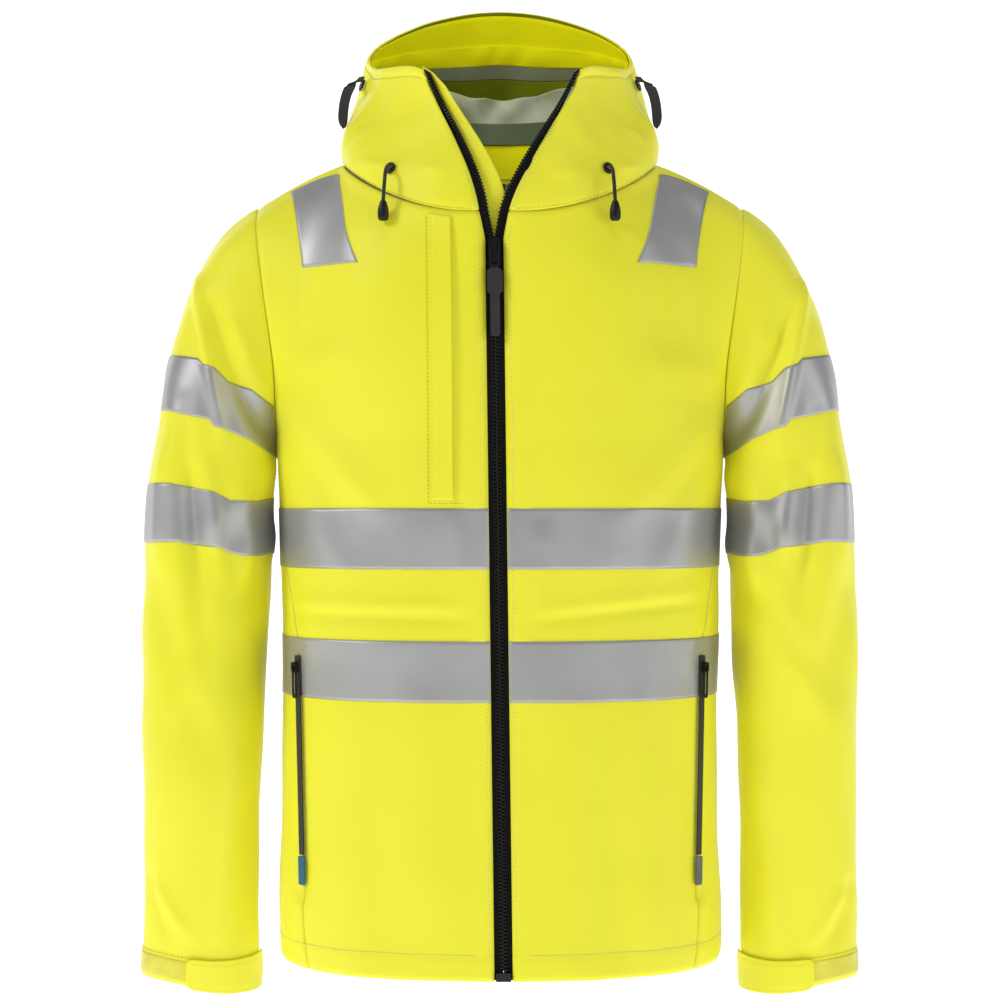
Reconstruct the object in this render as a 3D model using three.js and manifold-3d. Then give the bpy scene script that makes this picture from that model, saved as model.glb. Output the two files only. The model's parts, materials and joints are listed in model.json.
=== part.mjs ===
// Foul weather jacket, modelled as it hangs on a body. Millimetres, +Z up, the front faces -Y and
// the wearer's left is +X. The origin is the seat of the hanger loop, inside the back of the neck.
import * as THREE from 'three';
import { mergeVertices } from 'three/addons/utils/BufferGeometryUtils.js';
import Module from 'manifold-3d';

// ---- Driving dimensions, heights measured up from the hem ----
const BODY_LENGTH = 650; // hem to shoulder tip
const ARMHOLE_DROP = 207; // shoulder tip down to the underarm
const CHEST_HALF_WIDTH = 194;
const HEM_HALF_WIDTH = 190.5;
const SHOULDER_HALF_WIDTH = 213;
const ARMHOLE_HALF_DEPTH = 60;
const NECK_HALF_WIDTH = 138;
const NECK_POINT_RISE = 38; // above the shoulder tip
const FRONT_NECK_DROP = 19; // below the shoulder tip
const BACK_NECK_RISE = 33;
const BACK_NECK_DEPTH = 62;
const FRONT_DEPTH_HEM = 132;
const FRONT_DEPTH_NECK = 118;
const BACK_DEPTH = 130;
const SHELL = 2.4; // outer fabric, membrane and lining together
const SEAM_GAP = 0.6;
const ARMHOLE_GAP = 1;
const SKIN_GAP = 1.0; // tapes and strips stand this clear of the shell
const TAPE_WIDTH = 50;
const TAPE_THICKNESS = 0.8;
const WAIST_TAPE_HEIGHT = 227;
const CHEST_TAPE_DROP = 57; // underarm down to the upper edge of the chest tape

// Front zip
const ZIP_HALF_WIDTH = 7.5;
const CHAIN_HALF_GAP = 0.5;
const TEETH_WIDTH = 2.3;
const ZIP_BOX_HEIGHT = 7;
const ZIP_LEAN_HEM = 3; // the centre line drifts sideways by these amounts
const ZIP_LEAN_NECK = -5;
const ZIP_LEAN_COLLAR = 3.5;
const SLIDER_LENGTH = 20;
const SLIDER_TOP_DROP = 23; // below the front neck seam, where the chain opens
const COLLAR_HALF_WIDTH = 63;
const COLLAR_HEIGHT = 125;
const COLLAR_DEPTH = 75;

// Hood, lowered behind the neck
const RIM_HALF_WIDTH = 118;
const RIM_RISE = 140; // brim corners above the shoulder tip
const BRIM_RISE = 203; // far brim above the shoulder tip
const BRIM_DEPTH = 130;
const HOOD_INSET = 4.4; // the crown laps inside the hood sides

// Sleeves
const SLEEVE_TOP_HALF = 53;
const SLEEVE_HALF = 54;
const CUFF_HALF = 51;
const SLEEVE_DEPTH = 74;
const CUFF_DEPTH = 36;
const SLEEVE_DROP = 27; // the cuffs reach this far below the hem
const SLEEVE_GAP_TOP = 8;
const SLEEVE_GAP_CUFF = 16;
const SLEEVE_FORWARD = 20;
const LOFT_DROP = 48; // underarm down to the first full round of the sleeve

// Pockets
const POCKET_BOTTOM = 95;
const POCKET_LENGTH = 167;
const POCKET_ZIP_WIDTH = 7;
const CHEST_FLAP_WIDTH = 18;
const CHEST_FLAP_FROM_ZIP = 33;
const CHEST_FLAP_CLEARANCE = 7; // over the chest tape

const UNDERARM = BODY_LENGTH - ARMHOLE_DROP;
const NECK_FRONT = BODY_LENGTH - FRONT_NECK_DROP;
const NECK_POINT = BODY_LENGTH + NECK_POINT_RISE;
const NECK_BACK = BODY_LENGTH + BACK_NECK_RISE;
const CHAIN_OPENS = NECK_FRONT - SLIDER_TOP_DROP;
const NECK_SHARE = 0.62; // share of the top edge that is neck seam, the rest is shoulder seam
const LOOP_SEAT = { y: BACK_NECK_DEPTH - 6, z: NECK_BACK - 6 };

const SIDES = [
  { name: 'left', sign: 1 },
  { name: 'right', sign: -1 },
];

// ---- Finishes ----
const finish = (color, roughness, metalness) =>
  new THREE.MeshStandardMaterial({ color, roughness, metalness });
const SHELL_FABRIC = finish(0xf2ee4a, 0.55, 0);
const REFLECTIVE = finish(0x9c9c9c, 0.45, 0.2);
const BLACK_PLASTIC = finish(0x141414, 0.4, 0);
const BLACK_WEBBING = finish(0x1b1b1b, 0.8, 0);
const LOOP_TAPE = finish(0xe8e04a, 0.95, 0);
const LINING = finish(0xd8dcd2, 0.8, 0);
const GREY_TAB = finish(0x6b7178, 0.7, 0);
const BLUE_TAB = finish(0x2f5fae, 0.7, 0);

// ---- Geometry helpers ----
const wasm = await Module();
wasm.setup();
const vec = (x, y, z) => new THREE.Vector3(x, y, z);
const { clamp, lerp, smoothstep } = THREE.MathUtils;

const jacket = new THREE.Group();
const model = new THREE.Group();
model.position.set(0, -LOOP_SEAT.y, -LOOP_SEAT.z);
jacket.add(model);

function add(name, geometry, material, parent = model) {
  const mesh = new THREE.Mesh(geometry, material);
  mesh.name = name;
  parent.add(mesh);
}

function bezier(t, a, b, c, d) {
  const s = 1 - t;
  return vec(0, 0, 0)
    .addScaledVector(a, s * s * s)
    .addScaledVector(b, 3 * s * s * t)
    .addScaledVector(c, 3 * s * t * t)
    .addScaledVector(d, t * t * t);
}

/** Only positions, welded, with the faces turned outwards. */
function closed(geometry) {
  const bare = geometry.clone();
  bare.deleteAttribute('normal');
  bare.deleteAttribute('uv');
  return facingOut(mergeVertices(bare, 1e-4));
}

function facingOut(geometry) {
  const at = geometry.attributes.position;
  const index = geometry.index.array;
  const corner = [vec(), vec(), vec()];
  let volume = 0;
  for (let i = 0; i < index.length; i += 3) {
    corner.forEach((point, k) => point.fromBufferAttribute(at, index[i + k]));
    volume += corner[0].dot(corner[1].clone().cross(corner[2]));
  }
  for (let i = 0; volume < 0 && i < index.length; i += 3) {
    [index[i], index[i + 1]] = [index[i + 1], index[i]];
  }
  return geometry;
}

/** Moves every corner of a closed geometry to the place that a function gives it. */
function bend(geometry, place) {
  const shape = closed(geometry);
  const at = shape.attributes.position;
  for (let i = 0; i < at.count; i++) {
    const to = place(at.getX(i), at.getY(i), at.getZ(i));
    at.setXYZ(i, to.x, to.y, to.z);
  }
  return facingOut(shape);
}

function joined(...geometries) {
  const solids = geometries.map((geometry) => {
    const shape = closed(geometry);
    return new wasm.Manifold(new wasm.Mesh({
      numProp: 3,
      vertProperties: new Float32Array(shape.attributes.position.array),
      triVerts: new Uint32Array(shape.index.array),
    }));
  });
  const mesh = solids.reduce((whole, piece) => whole.add(piece)).getMesh();
  const result = new THREE.BufferGeometry();
  result.setAttribute('position', new THREE.BufferAttribute(mesh.vertProperties, 3));
  result.setIndex(new THREE.BufferAttribute(mesh.triVerts, 1));
  return result;
}

/** The outward normal of a surface, from small steps that stay inside its own range. */
function normalOf(surface, u, v, sign) {
  const step = 1e-3;
  const across = surface(Math.min(u + step, 1), v).sub(surface(Math.max(u - step, 0), v));
  const up = surface(u, Math.min(v + step, 1)).sub(surface(u, Math.max(v - step, 0)));
  return across.cross(up).normalize().multiplyScalar(sign);
}

/**
 * A sheet of fabric on a surface. Rows are heights from 0 to 1, columns(a, v) turns 0..1 into the
 * surface's own u, and place(u, v, depth) gives the point at a depth under the outer face.
 */
function sheet(place, rows, count, columns, top = 0, thickness = SHELL) {
  const box = new THREE.BoxGeometry(1, 1, 1, count, rows.length - 1, 1);
  return bend(box, (x, y, z) => {
    const v = rows[Math.round((y + 0.5) * (rows.length - 1))];
    return place(columns(x + 0.5, v), v, z > 0 ? top : top - thickness);
  });
}

const steps = (from, to, count) =>
  Array.from({ length: count + 1 }, (_, i) => lerp(from, to, i / count));

// ---- Body shell surface ----
// A quarter runs from the centre (u = 0) to the side seam or armhole (u = 1), and from the hem
// (v = 0) to the neck and shoulder seam (v = 1).
const UNDERARM_V = UNDERARM / NECK_FRONT;
const toV = (height) => height / NECK_FRONT;

function leanAt(z) {
  if (z < NECK_FRONT) return lerp(ZIP_LEAN_HEM, ZIP_LEAN_NECK, z / NECK_FRONT);
  return lerp(ZIP_LEAN_NECK, ZIP_LEAN_COLLAR, Math.min((z - NECK_FRONT) / COLLAR_HEIGHT, 1));
}

const frontDepth = (z) => lerp(FRONT_DEPTH_HEM, FRONT_DEPTH_NECK, z / NECK_FRONT);

/** Half width of the front opening's edge: straight along the closed chain, then spreading. */
const edgeX = (z) => ZIP_HALF_WIDTH + 0.2 * Math.max(0, z - CHAIN_OPENS);

function halfWidth(z) {
  const bulge = 2.5 * Math.exp(-(((z - 40) / 45) ** 2));
  const nip = 3 * Math.exp(-(((z - 260) / 110) ** 2));
  return lerp(HEM_HALF_WIDTH, CHEST_HALF_WIDTH, smoothstep(z, 0, UNDERARM)) + bulge - nip;
}

function level(back, u, z) {
  const y = back ? BACK_DEPTH : -frontDepth(z);
  const start = back ? 0 : edgeX(z);
  const width = z < UNDERARM ? halfWidth(z) : CHEST_HALF_WIDTH;
  return bezier(u, vec(start, y, z), vec(lerp(start, width, 0.72), y, z), vec(width, y * 0.62, z),
    vec(width, 0, z));
}

// Armhole edge as shares of its height, of its half depth and of the widening to the shoulder tip.
const ARMHOLE = [
  [0, 0, 0], [0.09, 0.5, 0], [0.3, 0.88, 0], [0.64, 1, 0.45], [0.89, 0.68, 0.85], [1, 0, 1],
];
const armholeCurve = new THREE.CatmullRomCurve3(ARMHOLE.map(([rise, depth, spread]) => vec(
  lerp(CHEST_HALF_WIDTH, SHOULDER_HALF_WIDTH, spread),
  -ARMHOLE_HALF_DEPTH * depth,
  UNDERARM + ARMHOLE_DROP * rise,
)));

function armhole(back, w) {
  const point = armholeCurve.getPoint(w);
  return back ? vec(point.x, -0.92 * point.y, point.z) : point;
}

const NECK = vec(NECK_HALF_WIDTH, -5, NECK_POINT);
const TIP = vec(SHOULDER_HALF_WIDTH, 0, BODY_LENGTH);

function neckSeam(back, t) {
  if (back) {
    return bezier(t, vec(0, BACK_NECK_DEPTH, NECK_BACK),
      vec(0.58 * NECK_HALF_WIDTH, BACK_NECK_DEPTH + 2, NECK_BACK + 1),
      vec(NECK_HALF_WIDTH, 0.6 * BACK_NECK_DEPTH, NECK_POINT + 5), NECK);
  }
  return bezier(t, vec(edgeX(NECK_FRONT), -FRONT_DEPTH_NECK, NECK_FRONT),
    vec(0.55 * NECK_HALF_WIDTH, -FRONT_DEPTH_NECK - 2, NECK_FRONT - 3),
    vec(0.96 * NECK_HALF_WIDTH, -0.6 * FRONT_DEPTH_NECK, NECK_POINT - 18), NECK);
}

function topEdge(back, u) {
  if (u < NECK_SHARE) return neckSeam(back, u / NECK_SHARE);
  const t = (u - NECK_SHARE) / (1 - NECK_SHARE);
  return NECK.clone().lerp(TIP, t).add(vec(0, 0, 12 * t * (1 - t)));
}

function centreLine(back, w) {
  if (!back) {
    const z = lerp(UNDERARM, NECK_FRONT, w);
    return vec(edgeX(z), -frontDepth(z), z);
  }
  return bezier(w, vec(0, BACK_DEPTH, UNDERARM), vec(0, BACK_DEPTH + 2, UNDERARM + 0.4 * ARMHOLE_DROP),
    vec(0, BACK_DEPTH - 12, BODY_LENGTH), vec(0, BACK_NECK_DEPTH, NECK_BACK));
}

function quarter(back, u, v) {
  if (v <= UNDERARM_V) return level(back, u, v * NECK_FRONT);
  const w = (v - UNDERARM_V) / (1 - UNDERARM_V);
  const ruled = level(back, u, UNDERARM).lerp(topEdge(back, u), w);
  const sides = centreLine(back, w).lerp(armhole(back, w), u);
  const corners = level(back, 0, UNDERARM).lerp(armhole(back, 0), u)
    .lerp(topEdge(back, 0).lerp(TIP, u), w);
  return ruled.add(sides).sub(corners);
}

const LEAN_START = 14; // the front leans fully out to here, and less and less towards the side

/** The quarter with its drift and its side: the front leans with the zip, fading out sideways. */
function torso(sign, back, u, v) {
  const point = quarter(back, u, v);
  const fade = back ? 0 : clamp((CHEST_HALF_WIDTH - point.x) / (CHEST_HALF_WIDTH - LEAN_START), 0, 1);
  return vec(sign * point.x + leanAt(point.z) * fade, point.y, point.z);
}

const ARMHOLE_CENTRE = UNDERARM + ARMHOLE_DROP / 2;

/** Inward direction at the armhole edge, shared by the body and the sleeve. */
const toArmholeCentre = (point) => vec(0, -point.y, ARMHOLE_CENTRE - point.z).normalize();

function torsoPlace(sign, back) {
  const surface = (u, v) => torso(sign, back, u, v);
  return (u, v, depth) => {
    const point = surface(u, v);
    const out = normalOf(surface, u, v, back ? -sign : sign);
    if (v >= UNDERARM_V) {
      const ridge = vec(sign * 0.45, 0, 0.9);
      out.lerp(ridge, smoothstep(u, 0.1, NECK_SHARE) * smoothstep(v, 0.9, 1));
      if (u > 0.99) out.copy(toArmholeCentre(point)).negate();
    }
    return point.addScaledVector(out.normalize(), depth);
  };
}

/** Share of the quarter where the side panel's seam runs; it meets the armhole at the underarm. */
function seamShare(v) {
  const z = v * NECK_FRONT;
  const pocketTop = POCKET_BOTTOM + POCKET_LENGTH;
  if (z <= pocketTop) return lerp(0.575, 0.645, z / pocketTop);
  return Math.min(1, lerp(0.645, 1, ((z - pocketTop) / (UNDERARM - pocketTop)) ** 1.2));
}

const SEAM_SHARE = SEAM_GAP / (CHEST_HALF_WIDTH + FRONT_DEPTH_HEM);
const LOWER_ROWS = [...steps(0, UNDERARM - 6, 8), UNDERARM].map(toV);
const UPPER_ROWS = [...steps(UNDERARM, CHAIN_OPENS, 6).slice(1), NECK_FRONT - 0.8].map(toV);
const panelEnd = (v) => seamShare(v) - (v < UNDERARM_V ? SEAM_SHARE : 0);
const BODY_ROWS = [...LOWER_ROWS, ...UPPER_ROWS];

for (const { name, sign } of SIDES) {
  add(`${name}_front`, sheet(torsoPlace(sign, false), BODY_ROWS, 14, (a, v) => a * panelEnd(v)),
    SHELL_FABRIC);
}

/** Places by a signed share q across the whole back, from -1 to 1. */
function backPlace(q, v, depth) {
  return torsoPlace(q < 0 ? -1 : 1, true)(Math.abs(q), v, depth);
}
add('back', sheet(backPlace, BODY_ROWS, 18, (a, v) => (2 * a - 1) * panelEnd(v)), SHELL_FABRIC);

/** Places round one side: t below 1 is the front quarter, above 1 the back quarter. */
const aroundPlace = (sign) => (t, v, depth) =>
  torsoPlace(sign, t > 1)(t > 1 ? 2 - t : t, v, depth);

for (const { name, sign } of SIDES) {
  const across = (a, v) => lerp(seamShare(v) + SEAM_SHARE, 2 - seamShare(v) - SEAM_SHARE, a);
  add(`${name}_side_panel`, sheet(aroundPlace(sign), LOWER_ROWS.slice(0, -1), 6, across), SHELL_FABRIC);
}

// ---- Reflective tapes round the body ----
const chestTapeTop = UNDERARM - CHEST_TAPE_DROP;
const BANDS = [['chest', chestTapeTop - TAPE_WIDTH], ['waist', WAIST_TAPE_HEIGHT]];
for (const [band, foot] of BANDS) {
  const rows = steps(foot, foot + TAPE_WIDTH, 2).map(toV);
  const top = SKIN_GAP + TAPE_THICKNESS;
  for (const { name, sign } of SIDES) {
    const across = (a, v) => lerp(0.004, 2 - seamShare(v), a);
    add(`${band}_tape_${name}`, sheet(aroundPlace(sign), rows, 18, across, top, TAPE_THICKNESS),
      REFLECTIVE);
  }
  const across = (a, v) => (2 * a - 1) * (seamShare(v) - 2 * SEAM_SHARE);
  add(`${band}_tape_back`, sheet(backPlace, rows, 18, across, top, TAPE_THICKNESS), REFLECTIVE);
}

// Shoulder patches up to the shoulder seam: where they start, and their inner and outer edges as
// shares of the front's width at the foot and at the seam
const SHOULDER_TAPE_FOOT = 0.895;
const SHOULDER_TAPE_INNER = [0.386, 0.585];
const SHOULDER_TAPE_OUTER = [0.732, 0.845];
for (const { name, sign } of SIDES) {
  const rows = steps(SHOULDER_TAPE_FOOT, 0.985, 4);
  const across = (a, v) => {
    const rise = (v - SHOULDER_TAPE_FOOT) / (1 - SHOULDER_TAPE_FOOT);
    return lerp(lerp(...SHOULDER_TAPE_INNER, rise), lerp(...SHOULDER_TAPE_OUTER, rise), a);
  };
  add(`shoulder_tape_${name}`, sheet(torsoPlace(sign, false), rows, 6, across,
    SKIN_GAP + TAPE_THICKNESS + 2.6, TAPE_THICKNESS), REFLECTIVE);
}

// ---- Hood ----
// p runs from the centre front (0) round to the centre back (1), b from the neck seam to the rim.
function rimPoint(p) {
  if (p < 0.5) {
    return bezier(2 * p, vec(COLLAR_HALF_WIDTH + 4, -COLLAR_DEPTH, NECK_FRONT + COLLAR_HEIGHT),
      vec(COLLAR_HALF_WIDTH + 22, -COLLAR_DEPTH + 25, NECK_FRONT + COLLAR_HEIGHT + 16),
      vec(RIM_HALF_WIDTH - 2, 0, BODY_LENGTH + RIM_RISE - 28),
      vec(RIM_HALF_WIDTH, 45, BODY_LENGTH + RIM_RISE));
  }
  return bezier(2 * p - 1, vec(RIM_HALF_WIDTH, 45, BODY_LENGTH + RIM_RISE),
    vec(RIM_HALF_WIDTH + 2, 85, BODY_LENGTH + RIM_RISE + 26),
    vec(0.5 * RIM_HALF_WIDTH, BRIM_DEPTH, BODY_LENGTH + BRIM_RISE),
    vec(0, BRIM_DEPTH, BODY_LENGTH + BRIM_RISE));
}

function hoodBase(p, b) {
  const base = neckSeam(p > 0.5, p > 0.5 ? 2 - 2 * p : 2 * p);
  const rim = rimPoint(p);
  const bag = smoothstep(p, 0.45, 0.95);
  const collar = 1 - smoothstep(p, 0, 0.2);
  const out = vec(Math.sin(Math.PI * Math.min(p * 1.1, 1)), -Math.cos(Math.PI * p), 0).normalize();
  const low = base.clone().add(vec(7 * collar, 0, 36 - 86 * bag)).addScaledVector(out, 4 + 84 * bag);
  const high = rim.clone().add(vec(-15 * collar, 0, -38 - 92 * bag)).addScaledVector(out, 5 + 52 * bag);
  return bezier(b, base, low, high, rim);
}

function hood(sign, p, b) {
  const point = hoodBase(p, b);
  const fade = clamp((RIM_HALF_WIDTH - point.x) / (RIM_HALF_WIDTH - LEAN_START), 0, 1);
  const front = clamp(-point.y / COLLAR_DEPTH, 0, 1);
  return vec(sign * point.x + leanAt(point.z) * fade * front, point.y, point.z);
}

const hoodPlace = (sign) => {
  const surface = (p, b) => hood(sign, p, b);
  return (p, b, depth) => surface(p, b).addScaledVector(normalOf(surface, p, b, sign), depth);
};
const crownPlace = (q, b, depth) => hoodPlace(q < 0 ? -1 : 1)(1 - Math.abs(q), b, depth);

const CROWN_NECK = 0.19; // half of the crown's share of the seam at the neck, and at the rim
const CROWN_RIM = 0.42;
const crownShare = (b) => lerp(CROWN_NECK, CROWN_RIM, smoothstep(b, 0, 0.8));
const HOOD_ROWS = steps(0.008, 1, 8);
for (const { name, sign } of SIDES) {
  add(`hood_${name}_side`, sheet(hoodPlace(sign), HOOD_ROWS, 10,
    (a, b) => a * (1 - crownShare(b) + 0.015)), SHELL_FABRIC);
}
add('hood_crown', sheet(crownPlace, [0.03, ...HOOD_ROWS.slice(1)], 16,
  (a, b) => (2 * a - 1) * crownShare(b), -HOOD_INSET), SHELL_FABRIC);
add('hood_brim_facing', sheet(crownPlace, steps(0.84, 0.985, 2), 16,
  (a, b) => (2 * a - 1) * (crownShare(b) - 0.02), -HOOD_INSET - SHELL - SKIN_GAP, 1.2), SHELL_FABRIC);

// ---- Sleeves ----
// s runs from the armhole (0) to the cuff (1); angle 0 is the outer line and rises over the front.
const LOFT_FOOT = UNDERARM - LOFT_DROP;

function sleeveRing(angle, z) {
  const share = (LOFT_FOOT - z) / (LOFT_FOOT + SLEEVE_DROP);
  const width = share < 0.3
    ? lerp(SLEEVE_TOP_HALF, SLEEVE_HALF, smoothstep(share, 0, 0.3))
    : lerp(SLEEVE_HALF, CUFF_HALF, smoothstep(share, 0.3, 1));
  const depth = lerp(SLEEVE_DEPTH, CUFF_DEPTH, share);
  const gap = lerp(SLEEVE_GAP_TOP, SLEEVE_GAP_CUFF, smoothstep(share, 0.1, 0.8));
  const centre = CHEST_HALF_WIDTH + gap + width;
  const round = (value) => Math.sign(value) * Math.abs(value) ** 0.85;
  return vec(centre + width * round(Math.cos(angle)),
    -SLEEVE_FORWARD * smoothstep(share, -0.2, 0.6) - depth * round(Math.sin(angle)), z);
}

const LOFT_SHARE = 0.4; // share of s spent between the armhole and the first full round

function sleeveBase(angle, s) {
  if (s >= LOFT_SHARE) {
    return sleeveRing(angle, lerp(LOFT_FOOT, -SLEEVE_DROP, (s - LOFT_SHARE) / (1 - LOFT_SHARE)));
  }
  const front = angle <= Math.PI;
  const edge = armhole(!front, front ? 1 - angle / Math.PI : angle / Math.PI - 1);
  edge.x += ARMHOLE_GAP;
  const ring = sleeveRing(angle, LOFT_FOOT);
  const reach = edge.distanceTo(ring);
  const outer = (Math.cos(angle) + 1) / 2;
  const leave = vec(lerp(0.2, 0.88, outer), -0.12 * Math.sin(angle), lerp(-0.98, -0.47, outer));
  const arrive = vec(-0.02 * outer, 0, 1);
  return bezier(s / LOFT_SHARE, edge, edge.clone().addScaledVector(leave, 0.26 * reach),
    ring.clone().addScaledVector(arrive, 0.36 * reach), ring);
}

/** The sleeve's outer face, or a layer at a depth under it (negative) or over it. */
function sleevePlace(sign, angle, s, depth) {
  const point = sleeveBase(angle, s);
  const before = Math.max(angle - 0.01, 0);
  const around = sleeveBase(angle + 0.01, s).sub(sleeveBase(before, s));
  const down = sleeveBase(angle, Math.min(s + 0.004, 1)).sub(sleeveBase(angle, Math.max(s - 0.004, 0)));
  const out = around.cross(down).normalize();
  if (s < 0.001) out.copy(toArmholeCentre(point)).negate();
  point.addScaledVector(out, depth);
  return vec(sign * point.x, point.y, point.z);
}

/** A tube round the sleeve: the rows of s may depend on the angle, as a slanted tape's do. */
function sleeveTube(sign, count, rows, top, thickness, rowAt = (row) => rows[row]) {
  const last = rows.length - 1;
  const profile = [...rows.map((_, i) => new THREE.Vector2(2, i)),
    ...rows.map((_, i) => new THREE.Vector2(1, last - i)), new THREE.Vector2(2, 0)];
  return bend(new THREE.LatheGeometry(profile, count), (x, y, z) => {
    const angle = (Math.atan2(x, z) + 2 * Math.PI) % (2 * Math.PI);
    const outside = Math.hypot(x, z) > 1.5;
    const clean = angle > 2 * Math.PI - 1e-6 ? 0 : angle;
    return sleevePlace(sign, clean, rowAt(Math.round(y), clean), outside ? top : top - thickness);
  });
}

const ARM_TAPE_START = 0.14; // the tapes stop this short of the armhole seam

/** The s at which the sleeve crosses a slanted plane, found by halving. */
function crossing(angle, height, slope) {
  let low = ARM_TAPE_START;
  let high = 1;
  for (let i = 0; i < 24; i++) {
    const middle = (low + high) / 2;
    const point = sleeveBase(angle, middle);
    const above = point.z > height + slope * (point.x - CHEST_HALF_WIDTH - SLEEVE_TOP_HALF);
    if (above) low = middle;
    else high = middle;
  }
  return low;
}

// Centre heights of the arm tapes against the underarm, and their slopes
const ARM_TAPES = [['upper', 36, 0.47], ['lower', -66, 0.16]];
for (const { name, sign } of SIDES) {
  const rows = [...steps(0, LOFT_SHARE, 5), ...steps(LOFT_SHARE, 1, 8).slice(1)];
  add(`${name}_sleeve`, sleeveTube(sign, 20, rows, 0, SHELL), SHELL_FABRIC);
  for (const [part, rise, slope] of ARM_TAPES) {
    const middle = UNDERARM + rise;
    const heightOf = (row) => middle + TAPE_WIDTH * 0.55 * (1 - row);
    const rowAt = (row, angle) =>
      Math.max(crossing(angle, heightOf(row), slope), ARM_TAPE_START + 0.03 * row);
    add(`${name}_${part}_arm_tape`,
      sleeveTube(sign, 20, [0, 1, 2], 2 * SKIN_GAP + TAPE_THICKNESS, TAPE_THICKNESS, rowAt), REFLECTIVE);
  }
}

// ---- Cuffs: a loop strip on the front of the cuff and the tab that closes on it ----
function cuffSheet(sign, from, to, foot, head, count, top, thickness) {
  const share = (z) => LOFT_SHARE + (1 - LOFT_SHARE) * (LOFT_FOOT - z) / (LOFT_FOOT + SLEEVE_DROP);
  const place = (u, v, depth) => sleevePlace(sign, lerp(from, to, u), share(lerp(foot, head, v)), depth);
  return sheet(place, [0, 1], count, (a) => a, top, thickness);
}
const CUFF_STITCH = -3; // the strip and the tab hang from this height
for (const { name, sign } of SIDES) {
  add(`${name}_cuff_loop_strip`,
    cuffSheet(sign, 0.6, 2.9, -SLEEVE_DROP + 4, CUFF_STITCH, 8, 1.9, 0.9), LOOP_TAPE);
  add(`${name}_cuff_tab`,
    cuffSheet(sign, 1.5, 3.0, -SLEEVE_DROP + 1, CUFF_STITCH, 7, 4.4, 1.8), SHELL_FABRIC);
}

// ---- Front zip ----
function zipLine(sign, v) {
  if (v <= 1) {
    const z = v * NECK_FRONT;
    const at = vec(sign * edgeX(z) + leanAt(z), -frontDepth(z), z);
    return { at, across: vec(-sign, 0, 0), out: vec(0, -1, 0) };
  }
  const b = v - 1;
  const surface = (p, t) => hood(sign, p, t);
  const across = hood(sign, 0, b).sub(hood(sign, 0.01, b)).normalize();
  return { at: hood(sign, 0, b), across, out: normalOf(surface, 0.002, b, sign) };
}
const zipPlace = (sign) => (u, v, depth) => {
  const { at, across, out } = zipLine(sign, v);
  return at.addScaledVector(across, u).addScaledVector(out, depth);
};
const ZIP_ROWS = [ZIP_BOX_HEIGHT + 1, CHAIN_OPENS].map(toV);
const FULL_ZIP_ROWS = [...ZIP_ROWS, ...steps(1, 2, 8)];
const teethEnd = ZIP_HALF_WIDTH - CHAIN_HALF_GAP;
const teethStart = teethEnd - TEETH_WIDTH;
for (const { name, sign } of SIDES) {
  add(`front_zip_tape_${name}`, sheet(zipPlace(sign), FULL_ZIP_ROWS, 1,
    (a) => lerp(0.5, teethStart - 0.6, a), -0.3, 1), BLACK_WEBBING);
  add(`front_zip_teeth_${name}`, sheet(zipPlace(sign), FULL_ZIP_ROWS, 1,
    (a) => lerp(teethStart, teethEnd, a), 0.9, 2.8), BLACK_PLASTIC);
}

/** A box with its sizes and centre in its parent's frame. */
function block(width, depth, height, x, y, z) {
  return new THREE.BoxGeometry(width, depth, height).translate(x, y, z);
}

/** A flat plate: an outline in X and Z, its thickness running to -Y from y. */
function plate(outline, thickness, y, holes = []) {
  const shape = new THREE.Shape(outline);
  shape.holes = holes.map((hole) => new THREE.Path(hole));
  return new THREE.ExtrudeGeometry(shape, { depth: thickness, bevelEnabled: false })
    .rotateX(Math.PI / 2).translate(0, y, 0);
}

/** A rectangle's outline with cut corners, centred on x = 0, from its top down. */
function outlineOf(width, top, bottom, cut) {
  const half = width / 2;
  return [[-half, bottom + cut], [-half + cut, bottom], [half - cut, bottom], [half, bottom + cut],
    [half, top - cut], [half - cut, top], [-half + cut, top], [-half, top - cut]]
    .map(([x, z]) => new THREE.Vector2(x, z));
}

/** Slider body: two plates, the post between them and the bridge that holds the pull. */
function sliderBody(width, length, front, behind, post) {
  const half = length / 2;
  return joined(
    plate(outlineOf(width, half, -half, 2), 1.6, -front),
    plate(outlineOf(width, half, -half, 2), 1.4, behind + 1.4),
    block(post, front + behind + 1, 3, 0, (behind - front) / 2, half - 1.5),
    block(3, 4, 1.6, 0, -front - 3, half - 2.6),
    block(3, 4, 1.6, 0, -front - 3, half - 9.2),
    block(3, 1.4, 8.2, 0, -front - 5, half - 5.9),
  );
}

// Everything on the slider is built in a frame that follows the chain's slope and lean.
const chainFoot = vec(leanAt(0), -frontDepth(0), 0);
const chainHead = vec(leanAt(NECK_FRONT), -frontDepth(NECK_FRONT), NECK_FRONT);
const chainDirection = chainHead.clone().sub(chainFoot).normalize();
const sliderCentre = CHAIN_OPENS - SLIDER_LENGTH / 2;
const sliderGroup = new THREE.Group();
sliderGroup.position.copy(chainFoot).addScaledVector(chainDirection, sliderCentre / chainDirection.z);
sliderGroup.quaternion.setFromUnitVectors(vec(0, 0, 1), chainDirection);
model.add(sliderGroup);
add('front_slider', sliderBody(10, SLIDER_LENGTH, 1.4, 2.5, 2 * CHAIN_HALF_GAP - 0.5),
  BLACK_PLASTIC, sliderGroup);
const PULL_HINGE = SLIDER_LENGTH / 2 - 5; // above the slider's centre
const PULL_FRONT = 4;
add('front_pull_link', plate(outlineOf(9, PULL_HINGE + 1.2, PULL_HINGE - 19, 1.5), 1.3, -PULL_FRONT + 0.3,
  [outlineOf(5.2, PULL_HINGE - 0.6, PULL_HINGE - 17, 1)]), BLACK_PLASTIC, sliderGroup);
const tabTop = PULL_HINGE - 19.4;
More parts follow.
